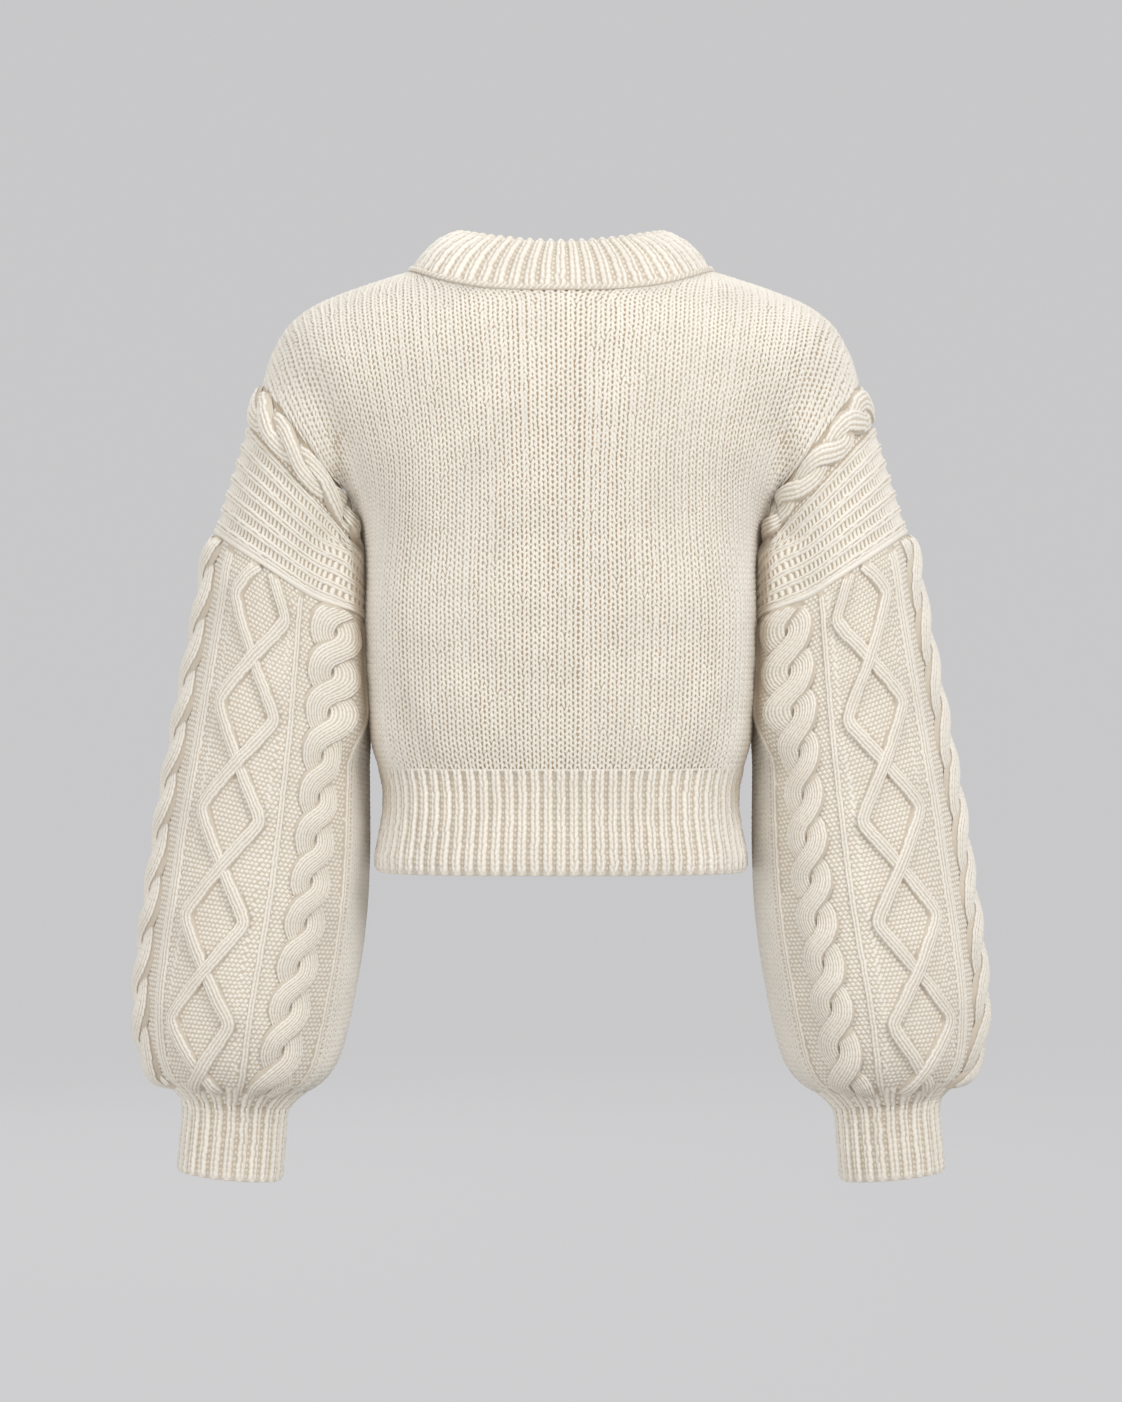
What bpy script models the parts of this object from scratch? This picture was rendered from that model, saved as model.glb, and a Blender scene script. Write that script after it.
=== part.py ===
"""Cable knit cardigan, filled out as if worn, with no wearer.

Each knitted piece is one closed wall: a plain inside and an outside whose points are moved
out for cables, welts and ribs. Metres, +Z up. The wearer faces -Y and the wearer's left is
+X. The origin is the middle of the neck at the height where the shoulder seams meet it.
Tables hold millimetres, which MM turns into metres.
"""
import math

import bpy
import bmesh
import numpy as np

MM = 0.001
WALL = 3.0  # thickness of the plain knit
SEAM_GAP = 0.3  # between two pieces sewn together
NECK_GAP = 0.7  # the neck seam curves, so its straight edges need a little more
ARMHOLE_GAP = 0.35  # on each side of the armhole seam, which curves too
BACK, FRONT = 1, -1

# Cross-sections of the body below the armpit.
TORSO = (
    # height, half width, depth of the back, depth of the front
    (-449.5, 137.5, 97.0, 97.0),
    (-441.0, 139.0, 98.5, 98.5),
    (-426.0, 136.5, 98.0, 98.0),
    (-403.5, 133.0, 97.0, 97.0),
    (-385.0, 133.2, 97.5, 97.5),
    (-371.6, 135.8, 99.0, 99.0),
    (-358.0, 138.8, 101.5, 101.5),
    (-325.0, 142.8, 104.5, 105.0),
    (-300.0, 145.0, 105.5, 107.0),
    (-268.0, 146.8, 106.5, 108.5),
    (-236.0, 148.2, 107.0, 109.0),
    (-205.0, 150.5, 106.0, 108.0),
)
HEM_BOTTOM = -449.5
HEM_SEAM = -371.6
ARMPIT = -205.0
SECTION_POWER = 2.5  # 2 is an ellipse, more is squarer

# The body above the armpit, where it opens out over the shoulders.
YOKE = (
    # height, half width, depth of the back, depth of the front, inner side of the arm
    (-205.0, 150.5, 106.0, 108.0, 150.5),
    (-186.0, 157.0, 105.5, 108.5, 148.5),
    (-171.0, 162.0, 105.0, 108.5, 147.0),
    (-135.0, 176.0, 103.0, 107.0, 130.0),
    (-100.0, 200.0, 100.0, 103.0, 95.0),
    (-60.0, 235.0, 91.0, 95.0, 40.0),
    (-21.0, 270.0, 79.0, 82.0, -40.0),
    (30.0, 310.0, 68.0, 70.0, -120.0),
)
ARM_DEPTH = 70.0
ARM_REACH = 52.0  # from the arm's inner side to its full depth
SHOULDER_ROUND = 66.0  # how far in from the outline the surface reaches its full depth
VALLEY_BLEND = 12.0  # softness of the fold between body and arm

# The garment's outline over the shoulder and down the arm to the sleeve seam.
OUTLINE = (
    # x, z
    (0.0, 21.0),
    (60.0, 14.5),
    (112.0, 0.5),
    (138.0, -7.5),
    (164.0, -16.5),
    (183.0, -24.5),
    (196.0, -33.0),
    (207.0, -44.0),
    (218.5, -66.0),
    (224.0, -85.0),
    (235.0, -111.0),
    (247.0, -156.0),
    (259.5, -197.0),
    (276.0, -268.0),
)
NECK_POINT = (112.0, 0.5)
SHOULDER_TIP = (224.0, -85.0)

# Where the armhole edge runs, seen from behind, from the shoulder tip to the armpit.
ARMHOLE = (
    # x, z
    (224.0, -85.0),
    (191.0, -128.0),
    (158.0, -171.0),
    (152.5, -188.0),
    (150.5, -205.0),
)
NECKLINE_DIP = {BACK: -21.0, FRONT: -78.0}  # height of the neckline at its middle
NECKLINE_POWER = {BACK: 3.2, FRONT: 2.2}  # 2 is a parabola, more is squarer

# Rings round the sleeve, from the sleeve seam to the cuff.
SLEEVE = (
    # outer x, outer z, inner x, inner z, half depth
    (259.0, -197.0, 148.8, -268.0, 72.0),
    (264.0, -214.0, 148.3, -284.0, 73.0),
    (268.5, -243.0, 147.2, -306.0, 73.5),
    (274.5, -275.0, 145.8, -330.0, 74.0),
    (282.0, -314.0, 144.0, -362.0, 74.0),
    (290.0, -357.0, 143.0, -398.0, 74.5),
    (298.0, -400.0, 143.0, -436.0, 75.0),
    (304.5, -446.0, 144.5, -472.0, 76.0),
    (310.5, -486.0, 148.0, -506.0, 76.5),
    (315.0, -525.0, 153.5, -539.0, 76.0),
    (316.0, -552.0, 158.5, -564.0, 73.0),
    (313.0, -580.0, 166.0, -590.0, 66.0),
    (305.0, -599.0, 177.0, -606.0, 55.0),
    (293.0, -611.0, 193.0, -617.0, 40.0),
    (285.0, -618.0, 204.0, -627.0, 30.0),
)
CUFF = (
    # outer x, outer z, inner x, inner z, half depth
    (284.5, -618.0, 204.5, -627.0, 29.5),
    (284.8, -640.0, 206.3, -647.0, 28.5),
    (287.5, -668.0, 208.6, -675.0, 28.5),
    (287.0, -675.0, 210.0, -682.5, 28.0),
)

# Neckband, from its seam to its upper edge.
NECK_TOP_HALF = 76.0
NECK_TOP_SIDE = 31.5
NECK_TOP_MIDDLE = {BACK: 20.0, FRONT: -42.0}
NECK_TOP_DEPTH = {BACK: 44.0, FRONT: 66.0}
NECK_BULGE = 5.0

# Ribs, welts and cables.
RIB_RELIEF = 1.1
HEM_RIBS = 84
CUFF_RIBS = 24
NECK_COLUMNS = (28, 52, 28)  # left front, back and right front, two to a rib
WELTS = 7
WELT_RELIEF = 2.2
ROPE_ROWS = (0.02, 0.075, 0.125, 0.175, 0.23)  # across the armhole band, at its rope cable
WELT_START = 0.26  # the welts run from here
WELT_END = 0.985  # to here across the armhole band
ROPE_RELIEF = 6.0
BRAID_RELIEF = 5.0
LOBE_ROWS = 3  # a lobe of a cable is this many rows of points long
LATTICE_RELIEF = 3.8
LATTICE_RIDGE = 9.0  # width of a lattice ridge
LATTICE_HALF = 22.0  # from the middle of the lattice to a ridge at its widest
DIAMONDS = 5
LATTICE_START = -0.025  # the first crossing, as part of the sleeve's length
LATTICE_END = 0.93  # and the last one
CABLE_COLUMNS = (
    # kind, angle at the top, angle at the bottom (degrees from the outer line), half width
    ("rope", 18.0, 17.0, 20.0),
    ("lattice", 78.0, 68.0, 27.0),
    ("braid", 126.0, 116.0, 17.5),
)
UNDERARM = 162.0  # degrees from the outer line past which the sleeve is plain
UNDERARM_FADE = 30.0  # degrees over which the cables sink into it
FULL_RADIUS = 60.0  # the cables draw together where the sleeve is thinner than this

# Centre front.
FRONT_EDGE = 14.0  # half width of a button band
BUTTONS = 6
BUTTON_RADIUS = 10.5
BUTTON_THICK = 3.6
TOP_BUTTON = 0.955  # places along the button band, from the hem up
BOTTOM_BUTTON = 0.055

CREAM = (0.80, 0.745, 0.65)
BUTTON_COLOUR = (0.66, 0.56, 0.43)

# Rough sizes, which turn a gap in millimetres into a share of a piece.
PANEL_LENGTH = 390.0  # hem seam to shoulder
PANEL_WIDTH = 196.0  # middle of the back to the side
BAND_WIDTH = 100.0
SLEEVE_LENGTH = 400.0
CUFF_LENGTH = 58.0
NECKBAND_WIDTH = 48.0

# How finely the pieces are cut up.
TABLE_ROWS = 81
TABLE_COLUMNS = 61
NECK_AT = {BACK: 28, FRONT: 27}  # the table column that ends at the neck point
ARMHOLE_STEPS = 181
YOKE_ROWS = 12  # rows of a body panel above the armpit
NECK_STEPS = 5  # columns of half a panel along the neckline
SLEEVE_ROWS = 34
ARMPIT_ROW = 0.49  # a row just below the armpit, where the wall turns into the arm


def unit(vectors):
    return vectors / np.maximum(np.linalg.norm(vectors, axis=-1, keepdims=True), 1e-12)


def smooth(table, at, key=0):
    """The columns of a table read along a smooth curve through its rows. The key column
    says where each row lies; with no key they lie at 0, 1, 2 and so on."""
    rows = np.asarray(table, float)
    if key is None:
        keys, values = np.arange(len(rows), dtype=float), rows
    else:
        keys, values = rows[:, key], np.delete(rows, key, 1)
    slopes = np.gradient(values, keys, axis=0)
    at = np.clip(np.asarray(at, float), keys[0], keys[-1])
    row = np.clip(np.searchsorted(keys, at) - 1, 0, len(keys) - 2)
    span = (keys[row + 1] - keys[row])[..., None]
    part = (at - keys[row])[..., None] / span
    square, cube = part**2, part**3
    return (
        (2 * cube - 3 * square + 1) * values[row]
        + (cube - 2 * square + part) * span * slopes[row]
        + (3 * square - 2 * cube) * values[row + 1]
        + (cube - square) * span * slopes[row + 1]
    )


def even_path(points, count):
    """A smooth path through the points, cut into equal lengths."""
    fine = smooth(points, np.linspace(0, len(points) - 1, 40 * len(points)), key=None)
    walked = np.r_[0, np.cumsum(np.linalg.norm(np.diff(fine, axis=0), axis=1))]
    at = np.linspace(0, walked[-1], count)
    return np.stack([np.interp(at, walked, line) for line in fine.T], -1)


def along_line(line, others, count):
    """What goes with a line of points, read again at equal lengths along it."""
    walked = np.r_[0, np.cumsum(np.linalg.norm(np.diff(line, axis=0), axis=1))]
    at = np.linspace(0, walked[-1], count + 1)
    return [np.stack([np.interp(at, walked, c) for c in rows.T], -1) for rows in others]


def joined(legs):
    """Lines that each start where the one before ends, as one line."""
    return np.concatenate([legs[0]] + [leg[1:] for leg in legs[1:]])


OUTLINE_PATH = even_path(OUTLINE, 160)


def outline_distance(x, z):
    """How far a point of the back view lies inside the outline."""
    start, step = OUTLINE_PATH[:-1], np.diff(OUTLINE_PATH, axis=0)
    place = np.stack([x, z], -1)[..., None, :]
    along = ((place - start) * step).sum(-1) / (step**2).sum(-1)
    nearest = start + np.clip(along, 0, 1)[..., None] * step
    return np.linalg.norm(place - nearest, axis=-1).min(-1)


def body_depth(x, z, side):
    """Depth of the body's surface above the armpit: a broad back that meets the round arm
    in a soft valley, closed by the rounded shoulder line."""
    half_width, back, front, arm_inner = np.moveaxis(smooth(YOKE, z), -1, 0)
    depth = back if side == BACK else front
    across = np.clip(np.abs(x) / half_width, 0, 1)
    torso = depth * (1 - across**SECTION_POWER) ** (1 / SECTION_POWER)
    inward = np.clip((arm_inner + ARM_REACH - x) / ARM_REACH, 0, 1)
    arm = ARM_DEPTH * np.sqrt(1 - inward**2)
    mix = np.clip(0.5 + 0.5 * (torso - arm) / VALLEY_BLEND, 0, 1)
    # The blend fades to nothing at the armpit, where both surfaces turn in.
    blend = VALLEY_BLEND * np.clip((z - ARMPIT) / 40, 0, 1)
    joined = arm + (torso - arm) * mix + blend * mix * (1 - mix)
    inside = np.clip(outline_distance(x, z) / SHOULDER_ROUND, 0, 1)
    return joined * np.sqrt(1 - (1 - inside) ** 2)


def half_section(height, side, edge, count):
    """Half of the body's outline at a height below the armpit, from the middle or the
    front edge round to the side seam, cut into equal lengths."""
    half_width, back, front = smooth(TORSO, height)
    depth = back if side == BACK else front
    turn = np.linspace(0, math.pi / 2, 400)
    x = half_width * np.sin(turn) ** (2 / SECTION_POWER)
    y = depth * np.cos(turn) ** (2 / SECTION_POWER)
    walked = np.r_[0, np.cumsum(np.hypot(np.diff(x), np.diff(y)))]
    at = np.linspace(np.interp(edge, x, walked), walked[-1], count)
    return np.stack([np.interp(at, walked, x), np.interp(at, walked, y)], -1)


def neckline(side, x):
    """Height of the neckline, seen from behind or in front, at a distance from the middle."""
    across = np.clip(x / NECK_POINT[0], 0, 1)
    drop = NECKLINE_DIP[side] - NECK_POINT[1]
    return NECK_POINT[1] + drop * (1 - across ** NECKLINE_POWER[side])


def neck_share(side):
    """The part of half a panel's columns that end at the neckline."""
    return NECK_AT[side] / (TABLE_COLUMNS - 1)


def panel_top(side, edge):
    """The top edge of a panel in the back view: neckline, then shoulder seam to the tip."""
    angle = np.linspace(0, math.pi / 2, 200)
    x = edge + (NECK_POINT[0] - edge) * np.sin(angle)
    neck = np.stack([x, neckline(side, x)], -1)
    path = OUTLINE_PATH
    seam = path[(path[:, 0] > NECK_POINT[0]) & (path[:, 0] < SHOULDER_TIP[0])]
    seam = np.vstack([NECK_POINT, seam, SHOULDER_TIP])
    depth = body_depth(neck[:, 0], neck[:, 1], side)
    cut = [
        along_line(np.column_stack([neck, depth]), [neck], NECK_AT[side]),
        along_line(seam, [seam], TABLE_COLUMNS - 1 - NECK_AT[side]),
    ]
    return joined([leg[0] for leg in cut])


def armhole_edge(side, count):
    """The armhole edge on the back or front, from the armpit up to the shoulder tip."""
    turn = np.linspace(math.pi, 0, count)
    path = even_path(ARMHOLE, 400)
    share = (1 - np.cos(turn)) / 2 * (len(path) - 1)
    line = np.stack([np.interp(share, np.arange(len(path)), c) for c in path.T], -1)
    depth = body_depth(line[:, 0], line[:, 1], side)
    depth[[0, -1]] = 0
    return np.stack([line[:, 0], side * depth, line[:, 1]], -1)


def evened(columns):
    """Moves the rows of a grid so that each column is cut into equal lengths."""
    step = np.linalg.norm(np.diff(columns, axis=0), axis=-1)
    walked = np.vstack([np.zeros(columns.shape[1]), np.cumsum(step, axis=0)])
    rows = np.linspace(0, 1, len(columns))
    result = np.empty_like(columns)
    for j in range(columns.shape[1]):
        at = rows * walked[-1, j]
        for axis in range(3):
            result[:, j, axis] = np.interp(at, walked[:, j], columns[:, j, axis])
    return result


def panel_table(side, edge):
    """A fine grid over half a panel: rows from the hem seam to the shoulder, columns from
    the middle (or the front edge) to the side seam and, above the armpit, the armhole."""
    low_rows = TABLE_ROWS // 2 + 1
    low = []
    for height in np.linspace(HEM_SEAM, ARMPIT, low_rows):
        section = half_section(height, side, edge, TABLE_COLUMNS)
        level = np.full(TABLE_COLUMNS, height)
        low.append(np.stack([section[:, 0], side * section[:, 1], level], -1))
    low = np.array(low)
    fine = 6 * (low_rows - 1) + 1
    right_edge = armhole_edge(side, fine)
    right = right_edge[:, [0, 2]]
    bottom = low[-1][:, [0, 2]]
    top = panel_top(side, edge)
    t = np.sin(np.linspace(0, math.pi / 2, fine))[:, None, None]
    walked = np.r_[0, np.cumsum(np.linalg.norm(np.diff(right, axis=0), axis=1))]
    right = np.stack([np.interp(t[:, 0, 0] * walked[-1], walked, c) for c in right.T], -1)
    middle = bottom[0] + t[:, 0] * (top[0] - bottom[0])
    u = np.linspace(0, 1, TABLE_COLUMNS)[None, :, None]
    flat = (
        (1 - u) * middle[:, None]
        + u * right[:, None]
        + (1 - t) * bottom
        + t * top
        - (1 - u) * (1 - t) * bottom[0]
        - (1 - u) * t * top[0]
        - u * (1 - t) * bottom[-1]
        - u * t * top[-1]
    )
    depth = body_depth(flat[..., 0], flat[..., 1], side)
    # The lowest rows ease from the section below into the valley.
    ease = np.clip((flat[..., 1] - ARMPIT) / 12, 0, 1)
    depth = low[-1][:, 1] * side * (1 - ease) + depth * ease
    depth[:, -1] = np.interp(
        flat[:, -1, 1], right_edge[:, 2], side * right_edge[:, 1]
    )
    depth[-1, NECK_AT[side]:] = 0
    high = np.stack([flat[..., 0], side * depth, flat[..., 1]], -1)
    return np.vstack([low, evened(high)[6::6]])


def normals_of(grid, outward):
    """Unit normals of a fine grid, turned to the side that outward points to."""
    across = np.gradient(grid, axis=1)
    up = np.gradient(grid, axis=0)
    normal = unit(np.cross(across, up))
    facing = (normal * outward).sum(-1).mean()
    return normal * np.sign(facing)


def read(grid, t, u):
    """A fine grid read between its points, for t up its rows and u along its columns."""
    row = np.clip(np.asarray(t, float), 0, 1) * (grid.shape[0] - 1)
    column = np.clip(np.asarray(u, float), 0, 1) * (grid.shape[1] - 1)
    i = np.clip(row.astype(int), 0, grid.shape[0] - 2)
    j = np.clip(column.astype(int), 0, grid.shape[1] - 2)
    a, b = (row - i)[..., None], (column - j)[..., None]
    low = grid[i, j] * (1 - b) + grid[i, j + 1] * b
    high = grid[i + 1, j] * (1 - b) + grid[i + 1, j + 1] * b
    return low * (1 - a) + high * a


def ring_point(table, row, angle):
    """A point of a tube given by a table of rings. Angle 0 is the outer line, a quarter
    turn is the back."""
    outer_x, outer_z, inner_x, inner_z, depth = np.moveaxis(smooth(table, row, key=None), -1, 0)
    across = (1 - np.cos(angle)) / 2
    x = outer_x + (inner_x - outer_x) * across
    z = outer_z + (inner_z - outer_z) * across
    return np.stack([x, depth * np.sin(angle), z], -1)


ARMHOLE_RING = np.vstack(
    [armhole_edge(BACK, ARMHOLE_STEPS)[::-1], armhole_edge(FRONT, ARMHOLE_STEPS)[1:]]
)


def armhole_turns():
    """Angles that cut the back and front of the armhole edge into equal lengths, where the
    rows of the body panels end."""
    halves = []
    for side in (BACK, FRONT):
        fine = armhole_edge(side, 20 * ARMHOLE_STEPS)
        walked = np.r_[0, np.cumsum(np.linalg.norm(np.diff(fine, axis=0), axis=1))]
        at = np.linspace(0, walked[-1], YOKE_ROWS + 1)
        halves.append(np.interp(at, walked, np.linspace(math.pi, 0, len(walked))))
    back, front = halves
    return np.r_[back[::-1], 2 * math.pi - front[1:-1]]


def armhole_point(angle):
    turn = np.mod(angle, 2 * math.pi)
    angles = np.linspace(0, 2 * math.pi, len(ARMHOLE_RING))
    return np.stack([np.interp(turn, angles, c) for c in ARMHOLE_RING.T], -1)


def band_point(part, angle):
    """The armhole band, from the armhole edge (0) to the sleeve seam (1)."""
    part, angle = np.broadcast_arrays(np.asarray(part, float), np.asarray(angle, float))
    seam = ring_point(SLEEVE, np.zeros_like(part), angle)
    return armhole_point(angle) * (1 - part[..., None]) + seam * part[..., None]


def ring_places(table):
    """How far down a tube each of its rings lies, from 0 to 1."""
    rows = np.asarray(table, float)
    middle = (rows[:, 0:2] + rows[:, 2:4]) / 2
    walked = np.r_[0, np.cumsum(np.linalg.norm(np.diff(middle, axis=0), axis=1))]
    return walked / walked[-1]


SLEEVE_PLACES = ring_places(SLEEVE)


def sleeve_point(part, angle):
    """The sleeve, from its seam with the armhole band (0) to the cuff (1)."""
    part, angle = np.broadcast_arrays(np.asarray(part, float), np.asarray(angle, float))
    row = np.interp(part, SLEEVE_PLACES, np.arange(len(SLEEVE)))
    return ring_point(SLEEVE, row, angle)


def cuff_point(part, angle):
    part, angle = np.broadcast_arrays(np.asarray(part, float), np.asarray(angle, float))
    return ring_point(CUFF, part * (len(CUFF) - 1), angle)


def armhole_normal(angle):
    """Across the armhole edge, outward, in the plane square to the arm."""
    step = 0.02
    around = armhole_point(angle + step) - armhole_point(angle - step)
    outer, inner = ARMHOLE_RING[0], ARMHOLE_RING[ARMHOLE_STEPS - 1]
    arm = unit(np.cross(outer - inner, np.array([0.0, 1.0, 0.0])))
    return unit(np.cross(around, arm))


def tube_normal(surface, part, angle):
    """Outward normals of a tube, from small steps round and along it."""
    round_step, long_step = 0.01, 0.01
    low = np.clip(part - long_step, 0, 1)
    high = np.clip(part + long_step, 0, 1)
    around = surface(part, angle + round_step) - surface(part, angle - round_step)
    along = surface(high, angle) - surface(low, angle)
    return unit(np.cross(along, around))


def square_ends(normals, surface, parts, angles):
    """Lays the normals at a tube's two ends in the plane of its end ring, so that two
    walls that meet there have one flat seam."""
    for row in (0, -1):
        ring = surface(parts[row], np.array([0.0, math.pi]))
        across = unit(np.cross(ring[0] - ring[1], np.array([0.0, 1.0, 0.0])))
        lean = (normals[row] @ across)[:, None]
        normals[row] = unit(normals[row] - lean * across)
    if surface is band_point:
        normals[0] = armhole_normal(angles[0])
    return normals


def grid_faces(rows, columns, start, closed):
    """Faces of a grid of points, row by row. A closed one joins its last column to its first."""
    faces = []
    for i in range(rows - 1):
        for j in range(columns if closed else columns - 1):
            right = (j + 1) % columns
            a, b = start + i * columns + j, start + i * columns + right
            faces.append((a, b, b + columns, a + columns))
    return faces


def stitch(points, first, first_at, second, second_at):
    """Triangles between two loops whose points lie at rising places from 0 to 1. Where
    both loops step together the shorter diagonal is taken, so that two walls which meet
    at a seam are cut alike."""

    def length(one, other):
        return np.linalg.norm(points[one] - points[other])

    faces = []
    i = j = 0
    while i < len(first) or j < len(second):
        next_first = first_at[i + 1] if i + 1 < len(first) else 1.0
        next_second = second_at[j + 1] if j + 1 < len(second) else 1.0
        a, b = first[i % len(first)], second[j % len(second)]
        a_next, b_next = first[(i + 1) % len(first)], second[(j + 1) % len(second)]
        if i >= len(first) or j >= len(second):
            step_first = i < len(first)
        elif abs(next_first - next_second) < 1e-6:
            step_first = length(a_next, b) <= length(b_next, a) + 1e-6
        else:
            step_first = next_first < next_second
        if step_first:
            faces.append((a, a_next, b))
            i += 1
        else:
            faces.append((a, b_next, b))
            j += 1
    return faces


def border(rows, columns, start, t, u):
    """The points round an open grid, with their places from 0 to 1."""
    loop, places = [], []
    last_row, last_column = rows - 1, columns - 1
    sides = (
        [(0, j, u[j]) for j in range(last_column)],
        [(i, last_column, t[i]) for i in range(last_row)],
        [(last_row, j, 1 - u[j]) for j in range(last_column, 0, -1)],
        [(i, 0, 1 - t[i]) for i in range(last_row, 0, -1)],
    )
    for number, side in enumerate(sides):
        for i, j, place in side:
            loop.append(start + i * columns + j)
            places.append((number + place) / len(sides))
    return loop, places


def closed_wall(outer, inner, outer_t, outer_u, inner_t, inner_u, closed):
    """Points and faces of a wall between an outer and an inner grid of points."""
    points = np.vstack([outer.reshape(-1, 3), inner.reshape(-1, 3)])
    inner_start = outer.shape[0] * outer.shape[1]
    faces = grid_faces(*outer.shape[:2], 0, closed)
    faces += grid_faces(*inner.shape[:2], inner_start, closed)
    if closed:
        for outer_row, inner_row in ((0, 0), (outer.shape[0] - 1, inner.shape[0] - 1)):
            a = [outer_row * outer.shape[1] + j for j in range(outer.shape[1])]
            b = [inner_start + inner_row * inner.shape[1] + j for j in range(inner.shape[1])]
            faces += stitch(points, a, outer_u, b, inner_u)
    else:
        a, a_at = border(*outer.shape[:2], 0, outer_t, outer_u)
        b, b_at = border(*inner.shape[:2], inner_start, inner_t, inner_u)
        faces += stitch(points, a, a_at, b, b_at)
    return points, faces


def cloth_material(name, colour, roughness):
    material = bpy.data.materials.new(name)
    material.use_nodes = True
    shader = material.node_tree.nodes["Principled BSDF"]
    shader.inputs["Base Color"].default_value = (*colour, 1)
    shader.inputs["Roughness"].default_value = roughness
    shader.inputs["Metallic"].default_value = 0
    return material


def solid(name, points, faces, material, mirrored=False):
    """A named object from points in millimetres, its faces turned outward."""
    points = np.array(points) * MM
    if mirrored:
        points[:, 0] *= -1
    mesh = bpy.data.meshes.new(name)
    mesh.from_pydata(points.tolist(), [], faces)
    shape = bmesh.new()
    shape.from_mesh(mesh)
    bmesh.ops.triangulate(shape, faces=[f for f in shape.faces if len(f.verts) > 3])
    bmesh.ops.recalc_face_normals(shape, faces=shape.faces)
    if shape.calc_volume(signed=True) < 0:
        bmesh.ops.reverse_faces(shape, faces=shape.faces)
    shape.to_mesh(mesh)
    shape.free()
    mesh.shade_smooth()
    mesh.set_sharp_from_angle(angle=math.radians(50))
    mesh.materials.append(material)
    thing = bpy.data.objects.new(name, mesh)
    bpy.context.scene.collection.objects.link(thing)
    return thing


# Body panels


def inset(values, first, last):
    """Moves the end values of an even spread in by the given amounts."""
    values = np.array(values, float)
    values[0] += first
    values[-1] -= last
    return values


def panel(name, table, normals, stations, cuts, material, mirrored=False):
    """A body panel. The stations are its outer rows, its columns and its inner rows, and
    the cuts are what its hem and shoulder, first edge and last edge leave for the seams."""
    t, u, inner_t = stations
    end, first, last = cuts
    # The wall's direction is read on the seams themselves, where neighbours agree.
    direction = unit(read(normals, inner_t[:, None], u[None, :]))
    t, u, inner_t = inset(t, end, end), inset(u, first, last), inset(inner_t, end, end)
    outer = read(table, t[:, None], u[None, :])
    inner = read(table, inner_t[:, None], u[None, :]) - WALL * direction
    points, faces = closed_wall(outer, inner, t, u, inner_t, u, closed=False)
    return solid(name, points, faces, material, mirrored)


def neck_columns(side):
    """Columns of half a panel along the neckline, closer together where it turns."""
    return neck_share(side) * np.sin(np.linspace(0, math.pi / 2, NECK_STEPS + 1))


def panel_stations(side):
    """Outer rows, columns and inner rows of half a panel."""
    u = np.r_[neck_columns(side), np.linspace(neck_share(side), 1, 7)[1:]]
    yoke = np.r_[ARMPIT_ROW, np.linspace(0.5, 1, YOKE_ROWS + 1)]
    return np.r_[np.linspace(0, 0.4, 5), yoke], u, np.r_[0, 0.25, yoke]


def half_panel(side):
    """The fine grid of half a panel and its normals, which agree with the neighbouring
    pieces along every seam."""
    table = panel_table(side, 0 if side == BACK else FRONT_EDGE)
    normals = normals_of(table, np.array([0, side, 0]))
    armpit_row = TABLE_ROWS // 2 + 1
    ring = armhole_edge(side, ARMHOLE_STEPS)
    turns = np.linspace(math.pi, 0, ARMHOLE_STEPS) * side
    turn = np.interp(table[armpit_row:, -1, 2], ring[:, 2], turns)
    normals[:armpit_row, -1] = (1, 0, 0)
    normals[armpit_row:, -1] = armhole_normal(turn)
    normals[0, :, 2] = 0
    normals[:, 0, 0] = 0
    neck_point = NECK_AT[side]
    normals[-1, neck_point:, 1] = 0
    normals[-1, :neck_point] = neck_normals(table[-1, : neck_point + 1], side)[:-1]
    normals[-1, neck_point] = (1, 0, 1)
    return table, unit(normals)


def neck_normals(points, side):
    """Across the neckline, outward, square to the neckband."""
    angle = side * np.arccos(np.clip(points[:, 0] / NECK_POINT[0], 0, 1))
    base = neck_ring(np.zeros_like(angle), angle)
    rise = neck_ring(np.full_like(angle, 0.25), angle) - base
    across = unit(np.cross(np.gradient(points, axis=0), rise))
    outward = points * np.array([1, 1, 0]) + np.array([0, 0, 30])
    return across * np.sign((across * outward).sum(-1, keepdims=True))


def make_back(material):
    """The back is knitted in one, so its two halves are read as one wide grid."""
    half, half_normals = half_panel(BACK)
    flip = np.array([-1, 1, 1])
    table = np.concatenate([half[:, :0:-1] * flip, half], axis=1)
    normals = np.concatenate([half_normals[:, :0:-1] * flip, half_normals], axis=1)
    t, u, inner_t = panel_stations(BACK)
    u = np.r_[0.5 - u[:0:-1] / 2, 0.5 + u / 2]
    end, armhole = SEAM_GAP / 2 / PANEL_LENGTH, ARMHOLE_GAP / (2 * PANEL_WIDTH)
    cuts = (end, armhole, armhole)
    return panel("back", table, normals, (t, u, inner_t), cuts, material)


def make_front(name, mirrored, material):
    table, normals = half_panel(FRONT)
    end, middle = SEAM_GAP / 2 / PANEL_LENGTH, SEAM_GAP / 2 / PANEL_WIDTH
    cuts = (end, middle, ARMHOLE_GAP / PANEL_WIDTH)
    return panel(name, table, normals, panel_stations(FRONT), cuts, material, mirrored)


# Arms


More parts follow.
